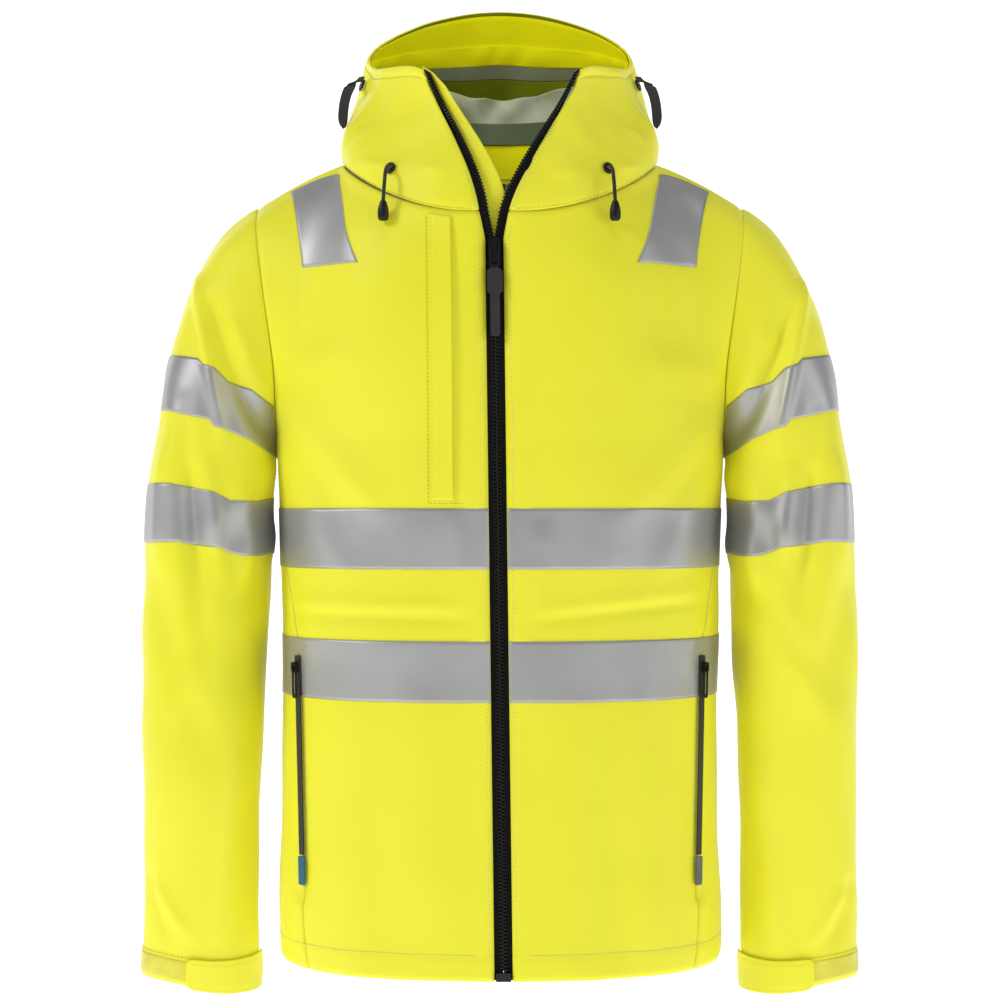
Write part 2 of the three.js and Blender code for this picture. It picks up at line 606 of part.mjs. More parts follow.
add('front_pull_tab', joined(
  plate(outlineOf(13, tabTop, tabTop - 22, 3), 2.6, -PULL_FRONT + 0.8),
  plate(outlineOf(8, tabTop - 20, tabTop - 56, 1.5), 1.8, -PULL_FRONT + 0.4),
), BLACK_WEBBING, sliderGroup);

const boxMiddle = ZIP_BOX_HEIGHT / 2 + 0.2;
add('front_zip_box',
  block(12.4, 4.6, ZIP_BOX_HEIGHT, leanAt(boxMiddle), -frontDepth(boxMiddle) + 0.4, boxMiddle),
  BLACK_PLASTIC);

// Inner storm flap: behind the closed zip, and beyond the right collar edge where the zip is open
const STORM_FLAP_REACH = 25; // beyond the right zip edge, a little less at the top
const flapReach = (v) => STORM_FLAP_REACH - (v <= 1 ? 0 : 4 * (v - 1));
const flapRows = [
  ...[12, CHAIN_OPENS - 60, CHAIN_OPENS, NECK_FRONT].map(toV), ...steps(1.12, 1.96, 7),
];
add('inner_storm_flap', sheet(zipPlace(-1), flapRows, 3,
  (a, v) => lerp(-STORM_FLAP_REACH / 2, flapReach(v), a), -5.4, 1.6), SHELL_FABRIC);

// ---- Chest pocket on the wearer's right: its zip tape under a hinged flap ----
const flapTop = NECK_FRONT - 6;
const flapFoot = chestTapeTop + CHEST_FLAP_CLEARANCE;
const chestRows = steps(flapFoot, flapTop, 8).map(toV);
/** Share of the front quarter at a distance outwards from the zip's edge. */
function shareAt(distance, v) {
  let low = 0;
  let high = 1;
  for (let i = 0; i < 24; i++) {
    const middle = (low + high) / 2;
    if (quarter(false, middle, v).x < ZIP_HALF_WIDTH + distance) low = middle;
    else high = middle;
  }
  return low;
}
const chestStrip = (from, width, rows, top, thickness, count) =>
  sheet(torsoPlace(-1, false), rows, count,
    (a, v) => shareAt(lerp(from, from + width, a), v), top, thickness);
const flapInner = CHEST_FLAP_FROM_ZIP - 4;
add('chest_pocket_flap', chestStrip(flapInner, CHEST_FLAP_WIDTH, chestRows, 6.2, 1.6, 2),
  SHELL_FABRIC);
const chestZipRows = [...chestRows.slice(0, -1), toV(flapTop - 2)];
add('chest_zip_tape', chestStrip(flapInner + 4, 8, chestZipRows, 1.9, 0.8, 1), BLACK_WEBBING);

// ---- Hand pockets, on the seam of front and side panel ----
const pocketSpan = [POCKET_BOTTOM, POCKET_BOTTOM + POCKET_LENGTH];
for (const { name, sign } of SIDES) {
  const [foot, head] = pocketSpan.map((z) => torso(sign, false, seamShare(toV(z)), toV(z)));
  const middleV = toV((pocketSpan[0] + pocketSpan[1]) / 2);
  const out = normalOf((u, v) => torso(sign, false, u, v), seamShare(middleV), middleV, sign);
  const up = head.clone().sub(foot).normalize();
  const right = out.clone().cross(up).negate().normalize();
  const group = new THREE.Group();
  group.position.copy(foot);
  const frame = new THREE.Matrix4().makeBasis(right, right.clone().cross(up).negate(), up);
  group.quaternion.setFromRotationMatrix(frame);
  model.add(group);
  const length = head.distanceTo(foot);
  const lift = 2.2; // the straight zip clears the slightly bowed panel
  add(`${name}_pocket_zip_tape`,
    plate(outlineOf(POCKET_ZIP_WIDTH, length, 0, 0.8), 0.9, -lift), BLACK_WEBBING, group);
  const face = lift + 0.9;
  add(`${name}_pocket_slider`, joined(
    plate(outlineOf(5.6, length - 5, length - 15, 1.4), 1.6, -face - 0.4),
    block(2, 3.2, 1.4, 0, -face - 3.2, length - 6.6),
    block(2, 3.2, 1.4, 0, -face - 3.2, length - 12.6),
    block(2, 1.2, 7.4, 0, -face - 5, length - 9.6),
  ), BLACK_PLASTIC, group);
  add(`${name}_pocket_pull`, plate(outlineOf(5.6, length - 8.6, length - 36, 1.4), 1.2, -face - 2.5,
    [outlineOf(2.8, length - 10, length - 33, 0.8)]), BLACK_PLASTIC, group);
  add(`${name}_pocket_tab`, plate(outlineOf(9, -1, -25, 1), 1.4, -lift),
    sign > 0 ? GREY_TAB : BLUE_TAB, group);
  const bagRows = steps(pocketSpan[0] - 30, pocketSpan[1] - 12, 4).map(toV);
  add(`${name}_pocket_bag`, sheet(torsoPlace(sign, false), bagRows, 6,
    (a, v) => lerp(0.2, seamShare(v) - 0.03, a), -SHELL - 2.2, 3), LINING);
}

// ---- Hood cords and side adjusters ----
/** A frame on the hood: +Z out of the fabric, +Y up along it. */
function hoodFrame(sign, p, b, lift) {
  const surface = (u, v) => hood(sign, u, v);
  const out = normalOf(surface, p, b, sign);
  const up = surface(p, b + 0.01).sub(surface(p, b)).normalize();
  const right = up.clone().cross(out).normalize();
  const group = new THREE.Group();
  group.position.copy(surface(p, b)).addScaledVector(out, lift);
  group.quaternion.setFromRotationMatrix(new THREE.Matrix4().makeBasis(right, up, out));
  model.add(group);
  return group;
}

/** A solid turned about Z, from the radius and height of each corner of its section. */
function turned(section, segments) {
  const profile = section.map(([radius, height]) => new THREE.Vector2(radius, height));
  return new THREE.LatheGeometry(profile, segments).rotateX(Math.PI / 2);
}

/** An eyelet: a flat ring with a chamfered collar. */
function eyelet(inner, outer, height) {
  return turned([[inner, 0], [outer, 0], [outer, height * 0.5], [outer - 1, height], [inner, height],
    [inner, 0]], 16);
}

const ADJUSTER_TILT = 0.3; // the tab's free end leans clear of the hood's bulge
const CORD_DIAMETER = 3.2;
const CORD_END_DIAMETER = 9.5;
const CORD_END_LENGTH = 17;
// The cord leaves its eyelet and hangs: steps from the eyelet's mouth, x away from the centre
const CORD_ROUTE = [[0, 0, 0], [1, -5, -1], [2, -10, -6], [2.5, -13, -13], [3, -15, -21], [3.5, -16, -30]];
for (const { name, sign } of SIDES) {
  const group = hoodFrame(sign, 0.22, 0.2, SKIN_GAP + 0.4);
  add(`${name}_cord_eyelet`, eyelet(2.2, 5.2, 2.2), BLACK_PLASTIC, group);
  const outwards = vec(0, 0, 1).applyQuaternion(group.quaternion);
  const mouth = group.position.clone().addScaledVector(outwards, 2.8);
  const route = CORD_ROUTE.map(([x, y, z]) => mouth.clone().add(vec(sign * x, y, z)));
  const path = new THREE.CatmullRomCurve3(route);
  const section = new THREE.Shape(steps(0, 7, 7).map((i) => new THREE.Vector2(
    CORD_DIAMETER / 2 * Math.cos(i * Math.PI / 4), CORD_DIAMETER / 2 * Math.sin(i * Math.PI / 4))));
  add(`${name}_hood_cord`, new THREE.ExtrudeGeometry(section, { steps: 8, extrudePath: path }),
    BLACK_WEBBING);
  const end = route[route.length - 1];
  const radius = CORD_END_DIAMETER / 2;
  const barrel = turned([[0, -CORD_END_LENGTH], [radius - 1.5, -CORD_END_LENGTH],
    [radius, -CORD_END_LENGTH + 2], [radius, -3], [2.6, 0], [0, 0]], 12);
  add(`${name}_cord_end`, barrel.translate(end.x, end.y, end.z - 0.4), BLACK_PLASTIC);

  const side = hoodFrame(sign, 0.46, 0.8, SKIN_GAP + 0.6);
  add(`${name}_adjuster_eyelet`, eyelet(2.4, 5.6, 2), BLACK_PLASTIC, side);
  const tab = plate(outlineOf(9, 3, -40, 1.2), 2, 0).rotateX(-Math.PI / 2 - ADJUSTER_TILT);
  add(`${name}_adjuster_tab`, tab.translate(0, 0, 4.8), BLACK_WEBBING, side);
}

// ---- Hanger loop: a strap loop whose opening runs sideways; the origin is under its top ----
const LOOP_WIDTH = 9;
const LOOP_WALL = 1.6;
const LOOP_OPENING = { depth: 5, height: 15 };
const loopOuter = [[-1, -1], [1, -1], [1, 1], [-1, 1]];
const loopShape = (grow) => loopOuter.map(([y, z]) => new THREE.Vector2(
  y * (LOOP_OPENING.depth / 2 + grow), -LOOP_OPENING.height / 2 + z * (LOOP_OPENING.height / 2 + grow)));
const loopProfile = new THREE.Shape(loopShape(LOOP_WALL));
loopProfile.holes = [new THREE.Path(loopShape(0))];
const loop = new THREE.ExtrudeGeometry(loopProfile, { depth: LOOP_WIDTH, bevelEnabled: false })
  .translate(0, 0, -LOOP_WIDTH / 2).rotateX(Math.PI / 2).rotateZ(Math.PI / 2);
add('hanger_loop', loop.translate(0, LOOP_SEAT.y, LOOP_SEAT.z), BLACK_WEBBING);

for (const mesh of model.children.flatMap((child) => (child.isMesh ? [child] : child.children))) {
  mesh.geometry = closed(mesh.geometry);
}

export default jacket;
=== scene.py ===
"""Foul weather jacket, hood lowered: cloth, tapes, zips and trims built round the fixed frame."""

import json
import logging
import math
from dataclasses import dataclass
from enum import Enum
from typing import Callable, Sequence

import bmesh
import bpy
import numpy as np
from mathutils import Matrix, Vector
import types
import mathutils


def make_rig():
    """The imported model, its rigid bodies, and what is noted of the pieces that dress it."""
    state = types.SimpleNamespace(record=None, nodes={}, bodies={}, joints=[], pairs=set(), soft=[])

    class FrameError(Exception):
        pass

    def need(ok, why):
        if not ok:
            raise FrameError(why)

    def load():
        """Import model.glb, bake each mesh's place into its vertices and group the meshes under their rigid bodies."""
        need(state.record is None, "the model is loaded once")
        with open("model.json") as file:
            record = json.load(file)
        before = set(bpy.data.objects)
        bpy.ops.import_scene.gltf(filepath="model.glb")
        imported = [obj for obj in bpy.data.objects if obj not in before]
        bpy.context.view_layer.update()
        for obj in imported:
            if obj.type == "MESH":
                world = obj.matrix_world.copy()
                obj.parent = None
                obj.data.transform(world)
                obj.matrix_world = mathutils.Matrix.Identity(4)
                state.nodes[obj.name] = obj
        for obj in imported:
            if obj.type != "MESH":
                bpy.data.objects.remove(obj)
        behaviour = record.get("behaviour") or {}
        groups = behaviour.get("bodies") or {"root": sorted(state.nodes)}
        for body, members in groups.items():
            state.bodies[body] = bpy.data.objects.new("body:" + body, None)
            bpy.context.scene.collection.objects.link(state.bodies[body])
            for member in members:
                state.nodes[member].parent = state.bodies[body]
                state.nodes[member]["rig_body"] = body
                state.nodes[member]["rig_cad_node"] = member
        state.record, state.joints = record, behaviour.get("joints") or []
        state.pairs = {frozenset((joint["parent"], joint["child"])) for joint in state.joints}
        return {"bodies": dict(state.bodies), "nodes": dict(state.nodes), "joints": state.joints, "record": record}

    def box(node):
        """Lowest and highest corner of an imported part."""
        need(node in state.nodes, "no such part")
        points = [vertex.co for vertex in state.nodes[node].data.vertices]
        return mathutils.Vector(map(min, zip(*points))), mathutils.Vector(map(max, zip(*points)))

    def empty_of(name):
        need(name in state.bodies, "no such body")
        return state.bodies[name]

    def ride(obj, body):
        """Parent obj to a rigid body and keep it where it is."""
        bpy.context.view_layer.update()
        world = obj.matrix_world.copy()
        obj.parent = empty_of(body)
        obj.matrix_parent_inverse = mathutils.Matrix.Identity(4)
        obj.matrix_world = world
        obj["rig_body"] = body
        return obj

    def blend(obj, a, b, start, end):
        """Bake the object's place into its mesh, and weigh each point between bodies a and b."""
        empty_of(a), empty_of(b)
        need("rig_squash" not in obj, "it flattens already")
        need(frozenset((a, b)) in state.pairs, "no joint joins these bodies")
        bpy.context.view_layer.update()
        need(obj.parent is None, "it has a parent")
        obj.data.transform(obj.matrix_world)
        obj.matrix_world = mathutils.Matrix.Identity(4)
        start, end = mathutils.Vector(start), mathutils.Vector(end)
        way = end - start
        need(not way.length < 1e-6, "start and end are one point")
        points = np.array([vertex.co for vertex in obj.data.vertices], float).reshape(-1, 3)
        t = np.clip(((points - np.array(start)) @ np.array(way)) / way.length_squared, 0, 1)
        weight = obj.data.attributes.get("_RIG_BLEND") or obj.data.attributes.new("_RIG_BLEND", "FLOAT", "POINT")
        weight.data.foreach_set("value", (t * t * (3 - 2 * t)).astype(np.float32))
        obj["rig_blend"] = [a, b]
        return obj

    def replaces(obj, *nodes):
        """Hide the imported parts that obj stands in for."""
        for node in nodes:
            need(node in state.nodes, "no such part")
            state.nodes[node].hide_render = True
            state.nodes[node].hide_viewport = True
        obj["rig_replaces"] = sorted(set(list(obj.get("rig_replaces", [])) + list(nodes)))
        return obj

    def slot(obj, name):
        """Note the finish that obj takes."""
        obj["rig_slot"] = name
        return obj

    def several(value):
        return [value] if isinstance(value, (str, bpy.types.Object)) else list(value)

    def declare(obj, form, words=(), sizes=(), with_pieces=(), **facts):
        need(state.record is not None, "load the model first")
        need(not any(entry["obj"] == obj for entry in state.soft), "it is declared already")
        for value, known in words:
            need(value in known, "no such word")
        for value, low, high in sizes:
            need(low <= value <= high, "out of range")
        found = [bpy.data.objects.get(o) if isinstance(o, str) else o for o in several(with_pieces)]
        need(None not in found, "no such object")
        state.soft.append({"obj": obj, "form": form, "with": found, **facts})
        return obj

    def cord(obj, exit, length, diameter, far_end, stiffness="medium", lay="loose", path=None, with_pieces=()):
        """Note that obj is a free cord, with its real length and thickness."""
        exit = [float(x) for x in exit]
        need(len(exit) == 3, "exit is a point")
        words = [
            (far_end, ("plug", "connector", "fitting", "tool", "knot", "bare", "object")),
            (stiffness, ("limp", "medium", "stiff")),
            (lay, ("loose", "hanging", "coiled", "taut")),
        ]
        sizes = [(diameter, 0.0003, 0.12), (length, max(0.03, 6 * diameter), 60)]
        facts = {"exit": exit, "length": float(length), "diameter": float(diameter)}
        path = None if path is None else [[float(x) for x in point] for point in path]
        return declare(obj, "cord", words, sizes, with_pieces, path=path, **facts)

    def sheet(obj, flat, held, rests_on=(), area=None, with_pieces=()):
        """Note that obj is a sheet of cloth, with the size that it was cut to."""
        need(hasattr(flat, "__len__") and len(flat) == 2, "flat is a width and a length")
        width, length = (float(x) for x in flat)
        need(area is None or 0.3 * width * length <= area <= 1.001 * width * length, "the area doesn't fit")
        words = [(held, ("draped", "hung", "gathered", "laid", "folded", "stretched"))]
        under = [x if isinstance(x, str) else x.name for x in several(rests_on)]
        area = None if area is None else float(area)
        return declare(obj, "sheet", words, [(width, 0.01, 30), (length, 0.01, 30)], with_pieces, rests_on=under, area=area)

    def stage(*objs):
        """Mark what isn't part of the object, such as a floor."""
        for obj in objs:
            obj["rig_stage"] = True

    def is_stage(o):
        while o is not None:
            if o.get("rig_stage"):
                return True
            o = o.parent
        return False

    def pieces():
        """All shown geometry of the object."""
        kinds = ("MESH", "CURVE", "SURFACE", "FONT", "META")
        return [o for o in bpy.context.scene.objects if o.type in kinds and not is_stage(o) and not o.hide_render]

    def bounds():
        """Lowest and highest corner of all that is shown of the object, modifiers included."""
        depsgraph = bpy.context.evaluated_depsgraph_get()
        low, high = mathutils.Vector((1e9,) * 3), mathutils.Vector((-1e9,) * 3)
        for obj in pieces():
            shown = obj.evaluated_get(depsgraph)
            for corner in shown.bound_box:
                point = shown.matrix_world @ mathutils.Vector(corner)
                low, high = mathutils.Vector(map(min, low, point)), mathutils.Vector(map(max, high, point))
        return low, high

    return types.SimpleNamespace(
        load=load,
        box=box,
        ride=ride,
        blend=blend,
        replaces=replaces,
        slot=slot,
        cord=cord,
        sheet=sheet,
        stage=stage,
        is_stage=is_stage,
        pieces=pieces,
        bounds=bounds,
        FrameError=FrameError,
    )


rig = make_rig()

LOG = logging.getLogger("jacket")
Array = np.ndarray
Surface = Callable[[Array, Array], Array]
Place = Callable[[Array, Array, Array], Array]
Path = Callable[[Array], tuple[Array, Array]]
Triple = tuple[float, float, float]
MM = 0.001
LOOP_SEAT = np.array([0.0, 56.0, 677.0])  # the frame's origin, in garment millimetres
SEAM_WIDTH = 2.4  # how far a seam's dip reaches each side of it
TAPE_LIFT = 0.75  # how far a reflective tape stands over the cloth
TAPE_WALL = 0.5
CLOSEST = 0.02  # the least share down a sleeve, so that nothing crosses the armhole seam
HALVINGS = 22  # steps that find a share by halving


# ---------------------------------------------------------------- small mathematics
def clip01(value: Array) -> Array:
    """Limit values to the range from 0 to 1."""
    return np.clip(value, 0.0, 1.0)


def smooth(value: Array, low: float, high: float) -> Array:
    """Rise smoothly from 0 at low to 1 at high."""
    t = clip01((value - low) / (high - low))
    return t * t * (3 - 2 * t)


def lerp(a: Array, b: Array, t: Array) -> Array:
    """Mix two values by the share t."""
    return a + (b - a) * t


def bell(value: Array, width: float) -> Array:
    """A rounded bump that is 1 at 0 and fades over the width."""
    return np.exp(-((value / width) ** 2))


def vectors(x: Array, y: Array, z: Array) -> Array:
    """Stack three coordinates, of which any may be one number, into rows."""
    return np.stack(np.broadcast_arrays(*(np.asarray(c, float) for c in (x, y, z))), axis=-1)


def unit(v: Array) -> Array:
    """Scale each row to length 1."""
    return v / np.maximum(np.linalg.norm(v, axis=-1, keepdims=True), 1e-9)


def bezier(t: Array, a: Array, b: Array, c: Array, d: Array) -> Array:
    """A cubic curve through rows of control points.

    Args:
        t: The share along the curve, one for each row.
        a, b, c, d: The control points, a row each or one for all.

    Returns:
        A point for each share.
    """
    t = np.asarray(t, float)[..., None]
    s = 1 - t
    return s**3 * a + 3 * s * s * t * b + 3 * s * t * t * c + t**3 * d


def normal_of(surface: Surface, u: Array, v: Array, sign: float) -> Array:
    """Find the outward normal of a surface from small steps inside its range.

    Args:
        surface: The surface, by its two shares.
        u, v: Where the normals are wanted.
        sign: Plus or minus one, to turn the normals outwards.

    Returns:
        A unit row for each place.
    """
    step = 1e-3
    across = surface(np.minimum(u + step, 1), v) - surface(np.maximum(u - step, 0), v)
    up = surface(u, np.minimum(v + step, 1)) - surface(u, np.maximum(v - step, 0))
    return unit(np.cross(across, up)) * sign


def to_row(points: Array) -> Array:
    """Turn garment millimetres into metres in the frame."""
    return (points - LOOP_SEAT) * MM


# ---------------------------------------------------------------- the jacket's cut
@dataclass(frozen=True)
class Cut:
    """Sizes of the jacket in millimetres, heights measured up from the hem."""

    body_length: float = 650
    armhole_drop: float = 207
    chest_half: float = 194
    hem_half: float = 190.5
    shoulder_half: float = 213
    armhole_half_depth: float = 60
    neck_half: float = 138
    neck_point_rise: float = 38
    front_neck_drop: float = 19
    back_neck_rise: float = 33
    back_neck_depth: float = 62
    front_depth_hem: float = 132
    front_depth_neck: float = 118
    back_depth: float = 130
    shell: float = 2.4
    tape_width: float = 50
    waist_tape: float = 227
    chest_tape_drop: float = 57
    zip_half: float = 7.5
    lean_hem: float = 3
    lean_neck: float = -5
    lean_collar: float = 3.5
    lean_start: float = 14
    slider_top_drop: float = 23
    collar_half: float = 63
    collar_height: float = 125
    collar_depth: float = 75
    rim_half: float = 118
    rim_rise: float = 140
    brim_rise: float = 203
    brim_depth: float = 130
    sleeve_top_half: float = 53
    sleeve_half: float = 54
    cuff_half: float = 51
    sleeve_depth: float = 74
    cuff_depth: float = 36
    sleeve_drop: float = 27
    sleeve_gap_top: float = 8
    sleeve_gap_cuff: float = 16
    sleeve_forward: float = 20
    loft_drop: float = 48
    loft_share: float = 0.4
    neck_share: float = 0.62
    pocket_bottom: float = 95
    pocket_length: float = 167

    @property
    def underarm(self) -> float:
        """Height of the underarm."""
        return self.body_length - self.armhole_drop

    @property
    def neck_front(self) -> float:
        """Height of the neck seam at the front."""
        return self.body_length - self.front_neck_drop

    @property
    def neck_point(self) -> float:
        """Height where the neck seam meets the shoulder seam."""
        return self.body_length + self.neck_point_rise

    @property
    def neck_back(self) -> float:
        """Height of the neck seam at the back."""
        return self.body_length + self.back_neck_rise

    @property
    def chain_opens(self) -> float:
        """Height of the slider's top, above which the zip is open."""
        return self.neck_front - self.slider_top_drop

    @property
    def underarm_v(self) -> float:
        """Share of the body's height at the underarm."""
        return self.underarm / self.neck_front


CUT = Cut()


@dataclass(frozen=True)
class Fold:
    """A rounded ridge, or a valley where its height is negative, along a straight line."""

    start: Triple
    end: Triple
    width: float
    height: float

    def lift(self, points: Array, seen: bool = False) -> Array:
        """Say how far the cloth stands proud at each point.

        Args:
            points: Where the heights are wanted.
            seen: Whether the line lies as it is seen from the front or the back, whatever its depth.

        Returns:
            A height for each point.
        """
        a, b = np.array(self.start, float), np.array(self.end, float)
        side = 1.0
        if seen:
            side = smooth(points[..., 1] * np.sign(a[1]), -5, 20)
            points, a, b = (place * np.array([1, 0, 1]) for place in (points, a, b))
        along = b - a
        t = ((points - a) @ along) / (along @ along)
        near = a + clip01(t)[..., None] * along
        distance = np.linalg.norm(points - near, axis=-1)
        taper = smooth(t, -0.15, 0.2) * (1 - smooth(t, 0.7, 1.15))
        return self.height * bell(distance, self.width) * taper * side

    def mirrored(self, scale: float = 1.0, shift: float = 0.0) -> "Fold":
        """The same fold on the other side, a little different."""
        (ax, ay, az), (bx, by, bz) = self.start, self.end
        return Fold((-ax, ay, az + shift), (-bx, by, bz + shift), self.width, self.height * scale)


def ripple(points: Array, length: float, height: float, turn: float = 0.0) -> Array:
    """Soft uneven waves all over a cloth.

    Args:
        points: Where the waves are wanted.
        length: The length of the longest wave.
        height: How high the waves are.
        turn: Shifts the waves, so that two cloths differ.

    Returns:
        A height for each point.
    """
    x, y, z = (points[..., i] / length * 2 * math.pi for i in range(3))
    waves = (
        np.sin(x + 0.6 * z + 1.3 * np.sin(0.45 * z + turn) + turn)
        + 0.7 * np.sin(1.7 * x - 0.5 * z + y + 2.1 * turn + 1.1)
        + 0.5 * np.sin(2.6 * y + 0.9 * x + 1.3 * z + turn + 0.4)
    )
    return height * waves / 2.2


class Torso:
    """The body's surface: a quarter runs from the centre to the side, and from hem to shoulder."""

    def __init__(self, cut: Cut) -> None:
        """Prepare the armhole's curve."""
        self.cut = cut
        shares = [(0, 0, 0), (0.09, 0.5, 0), (0.3, 0.88, 0), (0.64, 1, 0.45), (0.89, 0.68, 0.85), (1, 0, 1)]
        knots = np.array(
            [
                (
                    lerp(cut.chest_half, cut.shoulder_half, spread),
                    -cut.armhole_half_depth * depth,
                    cut.underarm + cut.armhole_drop * rise,
                )
                for rise, depth, spread in shares
            ]
        )
        self.table_t = np.linspace(0, 1, 1201)
        self.table = self._spline(knots, self.table_t)
        self.neck = np.array([cut.neck_half, -5, cut.neck_point], float)
        self.tip = np.array([cut.shoulder_half, 0, cut.body_length], float)

    @staticmethod
    def _spline(knots: Array, shares: Array) -> Array:
        """A smooth curve through the knots, with its knots spaced by the root of their distance."""
        padded = np.vstack([2 * knots[0] - knots[1], knots, 2 * knots[-1] - knots[-2]])
        last = len(knots) - 1
        at = shares * last
        i = np.minimum(at.astype(int), last - 1)
        w = (at - i)[:, None]
        p0, p1, p2, p3 = (padded[i + k] for k in range(4))
        pairs = ((p0, p1), (p1, p2), (p2, p3))
        d0, d1, d2 = (np.sqrt(np.linalg.norm(b - a, axis=1))[:, None] for a, b in pairs)
        t1 = ((p1 - p0) / d0 - (p2 - p0) / (d0 + d1) + (p2 - p1) / d1) * d1
        t2 = ((p2 - p1) / d1 - (p3 - p1) / (d1 + d2) + (p3 - p2) / d2) * d1
        return p1 + t1 * w + (3 * (p2 - p1) - 2 * t1 - t2) * w**2 + (2 * (p1 - p2) + t1 + t2) * w**3

    def lean(self, z: Array) -> Array:
        """Sideways drift of the centre line at a height."""
        c = self.cut
        low = lerp(c.lean_hem, c.lean_neck, z / c.neck_front)
        high = lerp(c.lean_neck, c.lean_collar, clip01((z - c.neck_front) / c.collar_height))
        return np.where(z < c.neck_front, low, high)

    def front_depth(self, z: Array) -> Array:
        """How far the front stands before the side plane."""
        return lerp(self.cut.front_depth_hem, self.cut.front_depth_neck, z / self.cut.neck_front)

    def edge(self, z: Array) -> Array:
        """Half width of the front opening."""
        return self.cut.zip_half + 0.2 * np.maximum(0, z - self.cut.chain_opens)

    def half_width(self, z: Array) -> Array:
        """Half width of the body below the underarm."""
        c = self.cut
        bulge = 2.5 * bell(z - 40, 45)
        nip = 3 * bell(z - 260, 110)
        return lerp(c.hem_half, c.chest_half, smooth(z, 0, c.underarm)) + bulge - nip

    def level(self, back: bool, u: Array, z: Array) -> Array:
        """A quarter's curve at one height."""
        c = self.cut
        y = np.full_like(z, c.back_depth) if back else -self.front_depth(z)
        start = np.zeros_like(z) if back else self.edge(z)
        width = np.where(z < c.underarm, self.half_width(z), c.chest_half)
        return bezier(
            u, vectors(start, y, z), vectors(lerp(start, width, 0.72), y, z),
            vectors(width, y * 0.62, z), vectors(width, 0 * z, z),
        )

    def armhole(self, back: bool, w: Array) -> Array:
        """The armhole's edge from the underarm up to the shoulder tip."""
        point = np.stack([np.interp(w, self.table_t, self.table[:, i]) for i in range(3)], axis=-1)
        if back:
            point[..., 1] *= -0.92
        return point

    def neck_seam(self, back: bool, t: Array) -> Array:
        """The neck seam from the centre to the neck point."""
        c = self.cut
        if back:
            return bezier(
                t, np.array([0, c.back_neck_depth, c.neck_back]),
                np.array([0.58 * c.neck_half, c.back_neck_depth + 2, c.neck_back + 1]),
                np.array([c.neck_half, 0.6 * c.back_neck_depth, c.neck_point + 5]), self.neck,
            )
        start = float(self.edge(np.array(c.neck_front)))
        return bezier(
            t, np.array([start, -c.front_depth_neck, c.neck_front]),
            np.array([0.55 * c.neck_half, -c.front_depth_neck - 2, c.neck_front - 3]),
            np.array([0.96 * c.neck_half, -0.6 * c.front_depth_neck, c.neck_point - 18]), self.neck,
        )

    def top_edge(self, back: bool, u: Array) -> Array:
        """The neck seam and then the shoulder seam."""
        share = self.cut.neck_share
        t = clip01((u - share) / (1 - share))
        shoulder = lerp(self.neck, self.tip, t[..., None])
        shoulder[..., 2] += 12 * t * (1 - t)
        neck = self.neck_seam(back, clip01(u / share))
        return np.where((u < share)[..., None], neck, shoulder)

    def _soft_top(self, back: bool, u: Array) -> Array:
        """The top edge with its corner at the neck point rounded off."""
        steps = np.linspace(-0.12, 0.12, 7)
        near = sum(self.top_edge(back, clip01(u + step)) for step in steps) / len(steps)
        return lerp(self.top_edge(back, u), near, (smooth(u, 0.2, 0.5) * (1 - smooth(u, 0.75, 1)))[..., None])

    def centre_line(self, back: bool, w: Array) -> Array:
        """The centre from the underarm's height to the neck."""
        c = self.cut
        if not back:
            z = lerp(c.underarm, c.neck_front, w)
            return vectors(self.edge(z), -self.front_depth(z), z)
        return bezier(
            w, np.array([0, c.back_depth, c.underarm]),
            np.array([0, c.back_depth + 2, c.underarm + 0.4 * c.armhole_drop]),
            np.array([0, c.back_depth - 12, c.body_length]),
            np.array([0, c.back_neck_depth, c.neck_back]),
        )

    def quarter(self, back: bool, u: Array, v: Array) -> Array:
        """A point of the quarter, on the positive side."""
        c = self.cut
        u, v = np.broadcast_arrays(np.asarray(u, float), np.asarray(v, float))
        low = self.level(back, u, v * c.neck_front)
        w = clip01((v - c.underarm_v) / (1 - c.underarm_v))
        across = self.level(back, u, np.full_like(u, c.underarm))
        share = u[..., None]
        rise = w[..., None]
        top = lerp(self._soft_top(back, u), self.top_edge(back, u), smooth(w, 0.9, 1)[..., None])
        ruled = lerp(across, top, rise)
        sides = lerp(self.centre_line(back, w), self.armhole(back, w), share)
        zero, start = np.zeros_like(u), self.level(back, np.zeros_like(u), np.full_like(u, c.underarm))
        corners = lerp(
            lerp(start, self.armhole(back, zero), share),
            lerp(self.top_edge(back, zero), np.broadcast_to(self.tip, start.shape), share), rise,
        )
        return np.where((v <= c.underarm_v)[..., None], low, ruled + sides - corners)

    def surface(self, sign: float, back: bool, u: Array, v: Array) -> Array:
        """The quarter on its side, with the front's drift."""
        c = self.cut
        point = self.quarter(back, u, v)
        x, y, z = (point[..., i] for i in range(3))
        fade = 0 if back else clip01((c.chest_half - x) / (c.chest_half - c.lean_start))
        return vectors(sign * x + self.lean(z) * fade, y, z)

    def place(self, sign: float, back: bool) -> Place:
        """Give the function that puts a cloth on this quarter at a height over its outer face."""
        c = self.cut
        middle = c.underarm + c.armhole_drop / 2

